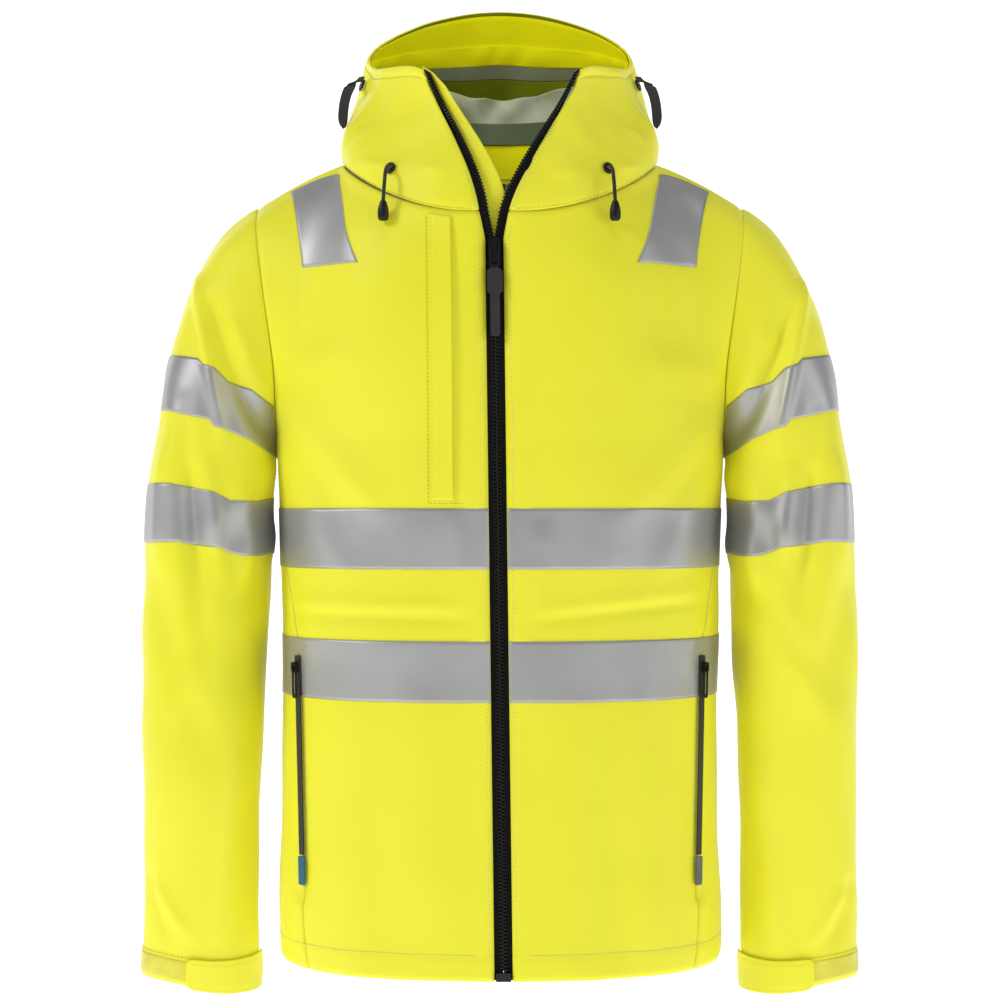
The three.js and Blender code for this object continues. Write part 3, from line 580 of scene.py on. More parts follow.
        def put(u: Array, v: Array, depth: Array) -> Array:
            """Place points by share across, share up and height over the face."""
            u, v, depth = np.broadcast_arrays(*(np.asarray(q, float) for q in (u, v, depth)))
            point = self.surface(sign, back, u, v)
            out = normal_of(lambda a, b: self.surface(sign, back, a, b), u, v, -sign if back else sign)
            upper = (v >= c.underarm_v).astype(float)
            ridge = np.array([sign * 0.45, 0, 0.9])
            share = smooth(u, 0.1, c.neck_share) * smooth(v, 0.9, 1) * upper
            out = lerp(out, ridge, share[..., None])
            away = unit(vectors(0 * u, point[..., 1], point[..., 2] - middle))
            out = lerp(out, away, (smooth(u, 0.97, 1) * upper)[..., None])
            return point + unit(out) * depth[..., None]

        return put

    def seam(self, v: Array) -> Array:
        """Share of the quarter where the side panel's seam runs."""
        c = self.cut
        z = v * c.neck_front
        top = c.pocket_bottom + c.pocket_length
        low = lerp(0.575, 0.645, z / top)
        rise = np.maximum((z - top) / (c.underarm - top), 0) ** 1.2
        return np.where(z <= top, low, np.minimum(1, lerp(0.645, 1, rise)))


class HoodForm:
    """The lowered hood: p runs from the centre front to the centre back, b from neck to rim."""

    def __init__(self, cut: Cut, torso: Torso) -> None:
        """Keep the cut and the body that the hood is sewn to."""
        self.cut = cut
        self.torso = torso

    def rim(self, p: Array) -> Array:
        """The face opening's edge."""
        c = self.cut
        top = c.neck_front + c.collar_height
        side = np.array([c.rim_half, 45, c.body_length + c.rim_rise])
        brim = c.body_length + c.brim_rise
        front = bezier(
            clip01(2 * p), np.array([c.collar_half + 4, -c.collar_depth, top]),
            np.array([c.collar_half + 22, -c.collar_depth + 25, top + 16]),
            side - np.array([2, 45, 28]), side,
        )
        far = bezier(
            clip01(2 * p - 1), side, side + np.array([2, 40, 26]),
            np.array([0.5 * c.rim_half, c.brim_depth, brim]), np.array([0, c.brim_depth, brim]),
        )
        return np.where((p < 0.5)[..., None], front, far)

    def base(self, p: Array, b: Array) -> Array:
        """A point of the hood on the positive side."""
        p, b = np.broadcast_arrays(np.asarray(p, float), np.asarray(b, float))
        seam = np.where(
            (p > 0.5)[..., None],
            self.torso.neck_seam(True, clip01(2 - 2 * p)), self.torso.neck_seam(False, clip01(2 * p)),
        )
        rim = self.rim(p)
        bag = smooth(p, 0.45, 0.95)
        collar = 1 - smooth(p, 0, 0.2)
        out = unit(vectors(np.sin(math.pi * np.minimum(p * 1.1, 1)), -np.cos(math.pi * p), 0 * p))
        low = seam + vectors(7 * collar, 0 * p, 36 - 86 * bag) + out * (4 + 84 * bag)[..., None]
        high = rim + vectors(-15 * collar, 0 * p, -38 - 92 * bag) + out * (5 + 52 * bag)[..., None]
        return bezier(b, seam, low, high, rim)

    def surface(self, sign: float, p: Array, b: Array) -> Array:
        """The hood on its side, drifting with the zip at the front."""
        c = self.cut
        point = self.base(p, b)
        x, y, z = (point[..., i] for i in range(3))
        fade = clip01((c.rim_half - x) / (c.rim_half - c.lean_start)) * clip01(-y / c.collar_depth)
        return vectors(sign * x + self.torso.lean(z) * fade, y, z)

    def place(self, sign: float) -> Place:
        """Give the function that puts a cloth on one half of the hood."""

        def put(p: Array, b: Array, depth: Array) -> Array:
            """Place points by share round, share up and height over the face."""
            p, b, depth = np.broadcast_arrays(*(np.asarray(q, float) for q in (p, b, depth)))
            out = normal_of(lambda s, t: self.surface(sign, s, t), p, b, sign)
            level = vectors(0 * out[..., 0], out[..., 1], out[..., 2])
            out = lerp(out, unit(level), smooth(p, 0.985, 1)[..., None])
            return self.surface(sign, p, b) + out * depth[..., None]

        return put

    def whole(self, q: Array, b: Array, depth: Array) -> Array:
        """Place points round the whole hood, q from -1 at the right front to 1 at the left front."""
        q = np.asarray(q, float)
        left = self.place(1)(np.clip(1 - np.abs(q), 0, 1), b, depth)
        right = self.place(-1)(np.clip(1 - np.abs(q), 0, 1), b, depth)
        return np.where((q < 0)[..., None], right, left)


class SleeveForm:
    """A sleeve: s runs from the armhole to the cuff, the angle from the outer line over the front."""

    def __init__(self, cut: Cut, torso: Torso) -> None:
        """Keep the cut and the body that the sleeve is sewn to."""
        self.cut = cut
        self.torso = torso
        self.loft_foot = cut.underarm - cut.loft_drop

    def ring(self, angle: Array, z: Array) -> Array:
        """One level ring of the sleeve."""
        c = self.cut
        share = (self.loft_foot - z) / (self.loft_foot + c.sleeve_drop)
        width = np.where(
            share < 0.3, lerp(c.sleeve_top_half, c.sleeve_half, smooth(share, 0, 0.3)),
            lerp(c.sleeve_half, c.cuff_half, smooth(share, 0.3, 1)),
        )
        depth = lerp(c.sleeve_depth, c.cuff_depth, share)
        gap = lerp(c.sleeve_gap_top, c.sleeve_gap_cuff, smooth(share, 0.1, 0.8))
        cos, sin = np.cos(angle), np.sin(angle)
        return vectors(
            c.chest_half + gap + width + width * np.sign(cos) * np.abs(cos) ** 0.85,
            -c.sleeve_forward * smooth(share, -0.2, 0.6) - depth * np.sign(sin) * np.abs(sin) ** 0.85, z,
        )

    def base(self, angle: Array, s: Array) -> Array:
        """A point of the left sleeve."""
        c = self.cut
        angle, s = np.broadcast_arrays(np.asarray(angle, float) % (2 * math.pi), np.asarray(s, float))
        front = angle <= math.pi
        low = self.ring(angle, lerp(self.loft_foot, -c.sleeve_drop, (s - c.loft_share) / (1 - c.loft_share)))
        fore, aft = 1 - angle / math.pi, angle / math.pi - 1
        before, behind = self.torso.armhole(False, clip01(fore)), self.torso.armhole(True, clip01(aft))
        edge = np.where(front[..., None], before, behind)
        edge = edge + np.array([0.1, 0, 0])
        ring = self.ring(angle, np.full_like(angle, self.loft_foot))
        reach = np.linalg.norm(edge - ring, axis=-1, keepdims=True)
        outer = (np.cos(angle) + 1) / 2
        leave = vectors(lerp(0.2, 0.88, outer), -0.12 * np.sin(angle), lerp(-0.98, -0.47, outer))
        arrive = vectors(-0.02 * outer, 0 * outer, 0 * outer + 1)
        share = clip01(s / c.loft_share)
        loft = bezier(share, edge, edge + 0.26 * reach * leave, ring + 0.36 * reach * arrive, ring)
        return np.where((s >= c.loft_share)[..., None], low, loft)

    def place(self, sign: float) -> Place:
        """Give the function that puts a cloth on the sleeve, its first share in turns."""
        middle = self.cut.underarm + self.cut.armhole_drop / 2

        def put(turn: Array, s: Array, depth: Array) -> Array:
            """Place points by share of a turn, share down and height over the face."""
            turn, s, depth = np.broadcast_arrays(*(np.asarray(q, float) for q in (turn, s, depth)))
            angle = turn * 2 * math.pi
            point = self.base(angle, s)
            around = self.base(angle + 0.01, s) - self.base(angle - 0.01, s)
            down = self.base(angle, np.minimum(s + 0.004, 1)) - self.base(angle, np.maximum(s - 0.004, 0))
            out = unit(np.cross(around, down))
            away = unit(vectors(0 * s, point[..., 1], point[..., 2] - middle))
            out = unit(lerp(away, out, smooth(s, 0, 0.03)[..., None]))
            point = point + out * depth[..., None]
            return point * np.array([sign, 1, 1])

        return put

    def crossing(self, turn: Array, edge: Sequence[tuple[float, float]]) -> Array:
        """The share down the sleeve where a tape's edge crosses it, found by halving.

        Args:
            turn: The share of a turn round the sleeve.
            edge: The edge's line seen from the front, as distances from the middle and heights.

        Returns:
            The share down the sleeve.
        """
        across, heights = np.array(edge, float).T
        low = np.full_like(turn, CLOSEST)
        high = np.ones_like(turn)
        for _ in range(HALVINGS):
            middle = (low + high) / 2
            point = self.base(turn * 2 * math.pi, middle)
            above = point[..., 2] > np.interp(point[..., 0], across, heights)
            low, high = np.where(above, middle, low), np.where(above, high, middle)
        return low


TORSO = Torso(CUT)
HOOD = HoodForm(CUT, TORSO)
SLEEVE = SleeveForm(CUT, TORSO)


# ---------------------------------------------------------------- how the cloth lies
LEFT_FOLDS = [
    Fold((188, -48, 468), (96, -122, 372), 15, 4.2),
    Fold((190, -30, 440), (128, -112, 322), 13, 3.4),
    Fold((186, -56, 500), (118, -116, 505), 16, 3.0),
    Fold((60, -126, 470), (92, -124, 300), 26, 2.2),
    Fold((36, -130, 372), (30, -130, 300), 9, 1.6),
    Fold((150, -104, 400), (168, -96, 250), 18, 2.6),
    Fold((70, -132, 220), (52, -132, 20), 26, 3.2),
    Fold((122, -120, 232), (128, -118, 8), 20, 3.4),
    Fold((168, -92, 90), (172, -88, -6), 16, 3.0),
    Fold((96, -128, 120), (100, -128, -8), 14, -2.6),
    Fold((60, -120, 600), (130, -100, 560), 22, 2.4),
    Fold((100, -105, 640), (160, -70, 560), 20, 2.6),
]
WAIST_CREASES = [
    Fold((-172, -92, 298), (-24, -131, 296), 5, -2.2),
    Fold((-172, -92, 307), (-24, -131, 304), 7, 1.6),
    Fold((32, -131, 294), (172, -92, 308), 5, -2.2),
    Fold((32, -131, 302), (172, -92, 317), 7, 1.6),
]
BACK_FOLDS = [
    Fold((170, 70, 470), (70, 128, 400), 18, 4.0),
    Fold((176, 60, 440), (100, 122, 300), 16, 3.4),
    Fold((40, 130, 560), (60, 130, 330), 30, 3.0),
    Fold((90, 124, 300), (70, 128, 20), 28, 3.8),
    Fold((150, 96, 260), (140, 100, 0), 22, 3.6),
    Fold((16, 132, 200), (22, 132, -6), 16, -3.0),
]
SLEEVE_FOLDS = [
    Fold((262, -44, 580), (234, -84, 436), 5.5, 4.2),
    Fold((248, -58, 556), (196, -56, 428), 9, -6.0),
    Fold((228, -66, 540), (208, -62, 480), 10, 3.0),
    Fold((287, -30, 430), (290, -26, 330), 8, 3.0),
    Fold((264, -70, 420), (256, -80, 320), 7, -3.2),
    Fold((247, -80, 420), (236, -86, 320), 7, 3.6),
    Fold((222, -82, 400), (218, -84, 310), 6, 3.2),
    Fold((204, -40, 460), (204, -40, 325), 22, 3.6),
    Fold((286, -34, 500), (262, -80, 250), 15, 3.6),
    Fold((272, -50, 470), (246, -86, 230), 9, -2.8),
    Fold((204, -60, 420), (250, -84, 350), 13, 3.2),
    Fold((206, -66, 360), (262, -84, 268), 13, 3.4),
    Fold((212, -76, 300), (286, -76, 200), 14, 3.0),
    Fold((300, -60, 330), (246, -84, 160), 16, -2.2),
    Fold((222, -72, 170), (238, -66, 12), 9, 3.0),
    Fold((300, -44, 60), (262, -66, 8), 7, 2.0),
    Fold((306, -30, 70), (284, -58, 6), 6, -1.8),
    Fold((280, 30, 500), (240, 66, 340), 15, 4.0),
    Fold((206, 40, 420), (280, 56, 300), 16, 4.0),
    Fold((214, 40, 260), (290, 40, 160), 16, 3.4),
    Fold((240, 20, 120), (250, 16, 0), 14, 2.6),
]
HOOD_FOLDS = [
    Fold((84, -106, 676), (60, -92, 716), 7, 4.0),
    Fold((86, -104, 678), (112, -68, 712), 7, 4.4),
    Fold((86, -108, 672), (120, -62, 676), 6, 3.6),
    Fold((78, -108, 672), (44, -108, 660), 7, 2.6),
    Fold((84, -108, 672), (90, -108, 640), 8, -2.6),
    Fold((98, -76, 742), (122, -38, 700), 9, 4.0),
    Fold((66, -78, 744), (78, -92, 690), 10, 3.0),
    Fold((112, -40, 764), (118, -30, 700), 8, -3.2),
    Fold((108, -20, 776), (136, -20, 700), 12, 4.0),
    Fold((122, 20, 780), (140, 30, 700), 14, -3.6),
    Fold((120, 60, 790), (132, 90, 700), 14, 4.4),
    Fold((70, 140, 760), (80, 150, 690), 18, 4.0),
    Fold((20, 150, 780), (24, 160, 680), 16, -3.6),
]


def both(folds: Sequence[Fold], scale: float, shift: float) -> list[Fold]:
    """The folds and their slightly different mirror images."""
    return [*folds, *(fold.mirrored(scale, shift) for fold in folds)]


BODY_DRAPE = [*both(LEFT_FOLDS, 0.85, 8), *WAIST_CREASES, *both(BACK_FOLDS, 0.9, -12)]
SLEEVE_DRAPE = both(SLEEVE_FOLDS, 0.9, 6)
HOOD_DRAPE = both(HOOD_FOLDS, 0.9, 3)


def total(folds: Sequence[Fold], points: Array, seen: bool = False) -> Array:
    """Sum the folds at each point."""
    return sum((fold.lift(points, seen) for fold in folds), np.zeros(points.shape[:-1]))


def calm_near(points: Array, start: Array, end: Array, width: float) -> Array:
    """A share that falls to 0 beside a line on both sides of the jacket, so that fittings lie flat."""
    a, b = np.asarray(start, float), np.asarray(end, float)
    mirrored = vectors(np.abs(points[..., 0]), points[..., 1], points[..., 2])
    along = b - a
    t = clip01(((mirrored - a) @ along) / max(float(along @ along), 1e-9))
    distance = np.linalg.norm(mirrored - a - t[..., None] * along, axis=-1)
    return smooth(distance, 0.35 * width, width)


POCKET_V = np.array([CUT.pocket_bottom - 28, CUT.pocket_bottom + CUT.pocket_length + 6]) / CUT.neck_front
POCKET_ENDS = TORSO.surface(1, False, TORSO.seam(POCKET_V), POCKET_V)
EYELET, ADJUSTER = (HOOD.surface(1, np.array(p), np.array(b)) for p, b in ((0.22, 0.2), (0.46, 0.8)))


def body_lift(points: Array) -> Array:
    """How far the body's cloth stands over its plain form."""
    z = points[..., 2]
    calm = 1 - 0.75 * bell(points[..., 0] - TORSO.lean(z), 16) * (points[..., 1] < 0)
    top = 1 - smooth(z, CUT.body_length - 40, CUT.body_length + 10)
    calm = calm * top * calm_near(points, *POCKET_ENDS, 16)
    return (total(BODY_DRAPE, points, True) + ripple(points, 150, 0.9)) * calm


def sleeve_lift(points: Array) -> Array:
    """How far the sleeve's cloth stands over its plain form."""
    hem = smooth(points[..., 2], -CUT.sleeve_drop - 4, 8)
    return (1.4 * total(SLEEVE_DRAPE, points, True) + ripple(points, 120, 1.3, 0.8)) * (0.25 + 0.75 * hem)


def hood_lift(points: Array) -> Array:
    """How far the hood's cloth stands over its plain form."""
    seam = smooth(points[..., 2], CUT.neck_front - 2, CUT.neck_front + 34)
    calm = calm_near(points, EYELET, EYELET, 12) * calm_near(points, ADJUSTER, ADJUSTER, 12)
    return (total(HOOD_DRAPE, points) + ripple(points, 95, 1.8, 1.9)) * (0.3 + 0.7 * seam) * calm


def draped(place: Place, lift: Callable[[Array], Array], fade: Callable[[Array, Array], Array]) -> Place:
    """Let a cloth on a surface follow the folds.

    Args:
        place: The plain surface.
        lift: The height of the folds at a point of it.
        fade: A share that calms the folds, by the surface's own two shares.

    Returns:
        The surface with its folds.
    """

    def put(u: Array, v: Array, depth: Array) -> Array:
        """Place points on the folded cloth."""
        u, v, depth = np.broadcast_arrays(*(np.asarray(q, float) for q in (u, v, depth)))
        plain = place(u, v, 0 * depth)
        return place(u, v, depth + lift(plain) * fade(u, v))

    return put


def body_place(sign: float, back: bool) -> Place:
    """The body's folded cloth on one quarter."""

    def fade(u: Array, v: Array) -> Array:
        """Calm the folds at the armhole."""
        return 1 - smooth(u, 0.9, 1) * smooth(v, CUT.underarm_v - 0.06, CUT.underarm_v)

    return draped(TORSO.place(sign, back), body_lift, fade)


def around_place(sign: float) -> Place:
    """The body's folded cloth round one side: below 1 is the front quarter, above 1 the back."""
    front, back = body_place(sign, False), body_place(sign, True)

    def put(t: Array, v: Array, depth: Array) -> Array:
        """Place points round the side."""
        fore = front(clip01(t), v, depth)
        aft = back(clip01(2 - t), v, depth)
        return np.where((np.asarray(t) > 1)[..., None], aft, fore)

    return put


def back_place(q: Array, v: Array, depth: Array) -> Array:
    """The folded cloth across the whole back, q from -1 on the right to 1 on the left."""
    q = np.asarray(q, float)
    left = body_place(1, True)(np.abs(q), v, depth)
    right = body_place(-1, True)(np.abs(q), v, depth)
    return np.where((q < 0)[..., None], right, left)


def sleeve_place(sign: float) -> Place:
    """The sleeve's folded cloth, its hem a little higher on the outer side."""
    folded = draped(SLEEVE.place(sign), sleeve_lift, lambda turn, s: smooth(s, 0.0, 0.06))

    def put(turn: Array, s: Array, depth: Array) -> Array:
        """Place points on the sleeve."""
        point = folded(turn, s, depth)
        x, y, z = (point[..., i] for i in range(3))
        rise = 11 * smooth(np.abs(x), 222, 312) * (1 - smooth(z, -CUT.sleeve_drop, 70))
        outer = smooth(np.abs(x), 235, 305) * (6.5 * bell(z - 475, 60) + 6.5 * bell(z - 120, 110))
        return vectors(x - np.sign(x) * outer, y, z + rise)

    return put


def hood_place(q: Array, b: Array, depth: Array) -> Array:
    """The hood's folded cloth, round from the right front edge to the left."""

    def fade(u: Array, v: Array) -> Array:
        """Calm the folds at the neck seam and at the rim."""
        return smooth(v, 0, 0.1) * (1 - 0.6 * smooth(v, 0.93, 1))

    return draped(HOOD.whole, hood_lift, fade)(q, b, depth)


def zip_place(sign: float) -> Place:
    """The front opening: u is millimetres from the zip's edge, v above 1 runs up the collar."""

    def put(u: Array, v: Array, depth: Array) -> Array:
        """Place points beside the opening."""
        u, v, depth = np.broadcast_arrays(*(np.asarray(q, float) for q in (u, v, depth)))
        z = np.minimum(v, 1) * CUT.neck_front
        low = vectors(sign * TORSO.edge(z) + TORSO.lean(z), -TORSO.front_depth(z), z)
        b = clip01(v - 1)
        high = HOOD.surface(sign, 0 * b, b)
        inward = unit(high - HOOD.surface(sign, 0 * b + 0.01, b))
        out = normal_of(lambda p, t: HOOD.surface(sign, p, t), 0 * b + 0.002, b, sign)
        collar = (v > 1)[..., None]
        across = np.where(collar, inward, vectors(-sign + 0 * b, 0 * b, 0 * b))
        return (
            np.where(collar, high, low) + across * u[..., None]
            + np.where(collar, out, vectors(0 * b, 0 * b - 1, 0 * b)) * depth[..., None]
        )

    return put


# ---------------------------------------------------------------- mesh helpers
def mesh_object(name: str, bm: bmesh.types.BMesh, smooth_faces: bool = True) -> bpy.types.Object:
    """Turn a bmesh into a linked object at the origin and free the bmesh."""
    mesh = bpy.data.meshes.new(name)
    bm.to_mesh(mesh)
    bm.free()
    for polygon in mesh.polygons:
        polygon.use_smooth = smooth_faces
    made = bpy.data.objects.new(name, mesh)
    bpy.context.scene.collection.objects.link(made)
    return made


def set_points(bm: bmesh.types.BMesh, points: Array) -> None:
    """Move every vertex to its row of points, given in garment millimetres."""
    for vertex, point in zip(bm.verts, to_row(points)):
        vertex.co = point


def read_points(bm: bmesh.types.BMesh) -> Array:
    """Every vertex's place as a row."""
    return np.array([vertex.co[:] for vertex in bm.verts])


@dataclass
class Cloth:
    """A cloth cut as a grid and laid on a surface.

    Its first share runs across and its second share runs up; thickness goes under the face.
    """

    name: str
    columns: int
    rows: int
    thickness: float = 2.0
    wrap: bool = False
    flat: tuple[float, float] = (0.0, 0.0)
    area: float = 0.0

    def make(self, place: Place, outward: Callable[[Array], Array]) -> bpy.types.Object:
        """Build the cloth.

        Args:
            place: Gives a point for two shares and a height of zero.
            outward: Gives a direction, at any point, that the face looks towards.

        Returns:
            The new object, with its wall as a Solidify modifier.
        """
        bm = bmesh.new()
        bm.loops.layers.uv.new("cloth")
        bmesh.ops.create_grid(bm, x_segments=self.columns, y_segments=self.rows, size=0.5, calc_uvs=True)
        shares = read_points(bm)[:, :2] + 0.5
        points = place(shares[:, 0], shares[:, 1], np.zeros(len(shares)))
        set_points(bm, points)
        self._measure(shares, points)
        layer = bm.loops.layers.uv.active
        width, length = self.flat
        for face in bm.faces:
            for loop in face.loops:
                loop[layer].uv = (loop[layer].uv[0] * width, loop[layer].uv[1] * length)
        if self.wrap:
            bmesh.ops.remove_doubles(bm, verts=bm.verts, dist=1e-6)
        bm.normal_update()
        centres = np.array([face.calc_center_median()[:] for face in bm.faces])
        normals = np.array([face.normal[:] for face in bm.faces])
        if np.sum(normals * outward(centres)) < 0:
            bmesh.ops.reverse_faces(bm, faces=bm.faces)
        made = mesh_object(self.name, bm)
        wall = made.modifiers.new("wall", "SOLIDIFY")
        wall.thickness = self.thickness * MM
        wall.offset = -1
        wall.use_rim = True
        return made

    def _measure(self, shares: Array, points: Array) -> None:
        """Find the flat size, in metres, from the laid grid's own rows and columns."""
        order = np.lexsort((shares[:, 0].round(6), shares[:, 1].round(6)))
        grid = (points[order] * MM).reshape(self.rows + 1, self.columns + 1, 3)
        across = np.linalg.norm(np.diff(grid, axis=1), axis=-1)
        up = np.linalg.norm(np.diff(grid, axis=0), axis=-1)
        self.flat = (float(across.sum(1).max()), float(up.sum(0).max()))
        side_a = grid[:-1, 1:] - grid[:-1, :-1]
        side_b = grid[1:, :-1] - grid[:-1, :-1]
        self.area = float(np.linalg.norm(np.cross(side_a, side_b), axis=-1).sum())


def away_from(x: float, y: float) -> Callable[[Array], Array]:
    """Directions level and away from an upright line at a garment place."""
    centre = to_row(np.array([x, y, 0.0]))

    def outward(points: Array) -> Array:
        """The direction at each point."""
        return (points - centre) * np.array([1, 1, 0])

    return outward


def towards(direction: Triple) -> Callable[[Array], Array]:
    """The same direction at every point."""
    return lambda points: np.tile(np.array(direction, float), (len(points), 1))


@dataclass
class Track:
    """Places along a line on a cloth, an even pitch apart, each with its own three directions."""

    points: Array
    along: Array
    across: Array
    out: Array

    @classmethod
    def lay(cls, place: Place, path: Path, pitch: float, depth: float = 0.0) -> "Track":
        """Walk a path on a surface.

        Args:
            place: The surface.
            path: Gives the surface's two shares for a share of the path.
            pitch: The distance from one place to the next, in millimetres.
            depth: The height over the surface.

        Returns:
            The track.
        """
        t = np.linspace(0, 1, 600)
        line = place(*path(t), depth + 0 * t)
        run = np.concatenate([[0], np.cumsum(np.linalg.norm(np.diff(line, axis=0), axis=1))])
        count = max(int(run[-1] / pitch), 1)
        at = np.interp((np.arange(count) + 0.5) / count * run[-1], run, t)
        here = place(*path(at), depth + 0 * at)
        ahead = place(*path(np.minimum(at + 2e-3, 1)), depth + 0 * at)
        behind = place(*path(np.maximum(at - 2e-3, 0)), depth + 0 * at)
        along = unit(ahead - behind)
        out = unit(place(*path(at), depth + 1 + 0 * at) - here)
        across = unit(np.cross(along, out))
        return cls(here, along, across, out)

    def set_out(self, local: Array) -> Array:
        """Place local points, in millimetres across, along and out, at every stop of the track."""
        return (
            self.points[:, None]
            + local[None, :, :1] * self.across[:, None]
            + local[None, :, 1:2] * self.along[:, None]
            + local[None, :, 2:] * self.out[:, None]
        ).reshape(-1, 3)


def repeated(bm: bmesh.types.BMesh, template: bpy.types.Mesh, track: Track) -> None:
    """Add one copy of a small shape at every stop of a track.

    Args:
        bm: Takes the copies.
        template: The small shape, its coordinates in millimetres.
        track: Where the copies go.
    """
    local = np.array([vertex.co[:] for vertex in template.vertices])
    first = len(bm.verts)
    for _ in range(len(track.points)):
        bm.from_mesh(template)
    bm.verts.ensure_lookup_table()
    for i, point in enumerate(to_row(track.set_out(local))):
        bm.verts[first + i].co = point


def template_of(bm: bmesh.types.BMesh, name: str) -> bpy.types.Mesh:
    """Keep a small shape as a mesh to be repeated."""
    bmesh.ops.recalc_face_normals(bm, faces=bm.faces)
    mesh = bpy.data.meshes.new(name)
    bm.to_mesh(mesh)
    bm.free()
    return mesh


def stitch_template() -> bpy.types.Mesh:
    """One stitch: a short rounded bar of thread."""
    bm = bmesh.new()
    bmesh.ops.create_uvsphere(bm, u_segments=6, v_segments=4, radius=1.0)
    bmesh.ops.rotate(bm, verts=bm.verts, matrix=Matrix.Rotation(math.pi / 2, 3, "X"))
    bmesh.ops.scale(bm, verts=bm.verts, vec=(0.34, 1.25, 0.3))
    return template_of(bm, "stitch")


def bar_template(name: str, size: Triple, centre: Triple, bevel: float) -> bpy.types.Mesh:
    """A small bar with broken edges, in millimetres across, along and out."""
    bm = bmesh.new()
    bmesh.ops.create_cube(bm, size=1.0)
    bmesh.ops.scale(bm, verts=bm.verts, vec=size)
    bmesh.ops.bevel(
        bm, geom=bm.edges[:], offset=bevel, segments=1, profile=0.5, affect="EDGES", material=-1,
        clamp_overlap=True,
    )
    bmesh.ops.translate(bm, verts=bm.verts, vec=centre)
    return template_of(bm, name)


# ---------------------------------------------------------------- finishes
class Slot(Enum):
    """The record's material slots."""

    SHELL = "shell_fabric"
    TAPE = "reflective_tape"
    ZIP = "zip_tape"
    MOULDED = "moulded_black"
    WEBBING = "black_webbing"
    CORD = "black_cord"
    LOOP = "hook_loop"
    GREY_TAB = "grey_tab"
    BLUE_TAB = "blue_tab"
    LINING = "lining"


def new_group(
    name: str, inputs: Sequence[tuple[str, str, float]], outputs: Sequence[str],
) -> bpy.types.ShaderNodeTree:
    """Start a shader node group with named sockets.

    Args:
        name: The group's name.
        inputs: Name, socket type and starting value of each input.
        outputs: Names of the outputs, all numbers.

    Returns:
        The group, holding its input and output nodes.
    """
    tree = bpy.data.node_groups.new(name, "ShaderNodeTree")
    for label, kind, value in inputs:
        socket = tree.interface.new_socket(label, in_out="INPUT", socket_type=kind)
        if kind == "NodeSocketFloat":
            socket.default_value = value
    for label in outputs:
        tree.interface.new_socket(label, in_out="OUTPUT", socket_type="NodeSocketFloat")
    tree.nodes.new("NodeGroupInput").name = "in"
    tree.nodes.new("NodeGroupOutput").name = "out"
    return tree


def maths(tree: bpy.types.NodeTree, operation: str, a: object, b: object) -> bpy.types.NodeSocket:
    """Add a Math node on two sockets or numbers and give its result."""
    node = tree.nodes.new("ShaderNodeMath")
    node.operation = operation
    for socket, value in zip(node.inputs, (a, b)):
        if isinstance(value, bpy.types.NodeSocket):
            tree.links.new(value, socket)
        else:
            socket.default_value = value
    return node.outputs[0]


def weave_group() -> bpy.types.ShaderNodeTree:
    """Plain weave from a cloth's own metres: a height, and a shade that differs thread by thread."""
    tree = new_group(
        "plain_weave",
        [("Cloth", "NodeSocketVector", 0), ("Threads", "NodeSocketFloat", 1000),
         ("Fuzz", "NodeSocketFloat", 0.3)],
        ["Height", "Shade"],
    )
    source, sink = tree.nodes["in"], tree.nodes["out"]
    scaled = tree.nodes.new("ShaderNodeVectorMath")
    scaled.operation = "SCALE"
    tree.links.new(source.outputs["Cloth"], scaled.inputs[0])
    tree.links.new(source.outputs["Threads"], scaled.inputs["Scale"])
    split = tree.nodes.new("ShaderNodeSeparateXYZ")
    tree.links.new(scaled.outputs[0], split.inputs[0])
    angles = [maths(tree, "MULTIPLY", output, math.pi) for output in split.outputs[:2]]
    warp, weft = (maths(tree, "ABSOLUTE", maths(tree, "SINE", angle, 0), 0) for angle in angles)
    over = maths(tree, "ADD", *(maths(tree, "FLOOR", output, 0) for output in split.outputs[:2]))
    turn = maths(tree, "ABSOLUTE", maths(tree, "MODULO", over, 2.0), 0)
    first = maths(tree, "MULTIPLY", warp, turn)
    second = maths(tree, "MULTIPLY", weft, maths(tree, "SUBTRACT", 1.0, turn))
    noise = tree.nodes.new("ShaderNodeTexNoise")
    noise.inputs["Scale"].default_value = 0.35
    noise.inputs["Detail"].default_value = 2
    tree.links.new(scaled.outputs[0], noise.inputs["Vector"])
    fuzz = maths(tree, "MULTIPLY", noise.outputs["Fac"], source.outputs["Fuzz"])
    tree.links.new(maths(tree, "ADD", maths(tree, "ADD", first, second), fuzz), sink.inputs["Height"])
    tree.links.new(noise.outputs["Fac"], sink.inputs["Shade"])
    return tree


def mottle_group() -> bpy.types.ShaderNodeTree:
    """Slow uneven patches, as handling and folding leave on a cloth, and fine grain."""
    tree = new_group(
        "soft_mottle",
        [("Place", "NodeSocketVector", 0), ("Size", "NodeSocketFloat", 9), ("Grain", "NodeSocketFloat", 900)],
        ["Patch", "Grain"],
    )
    source, sink = tree.nodes["in"], tree.nodes["out"]
    for label, detail in (("Patch", 3), ("Grain", 2)):
        noise = tree.nodes.new("ShaderNodeTexNoise")
        noise.inputs["Detail"].default_value = detail
        tree.links.new(source.outputs["Place"], noise.inputs["Vector"])
        tree.links.new(source.outputs["Size" if label == "Patch" else "Grain"], noise.inputs["Scale"])
        tree.links.new(noise.outputs["Fac"], sink.inputs[label])
    return tree


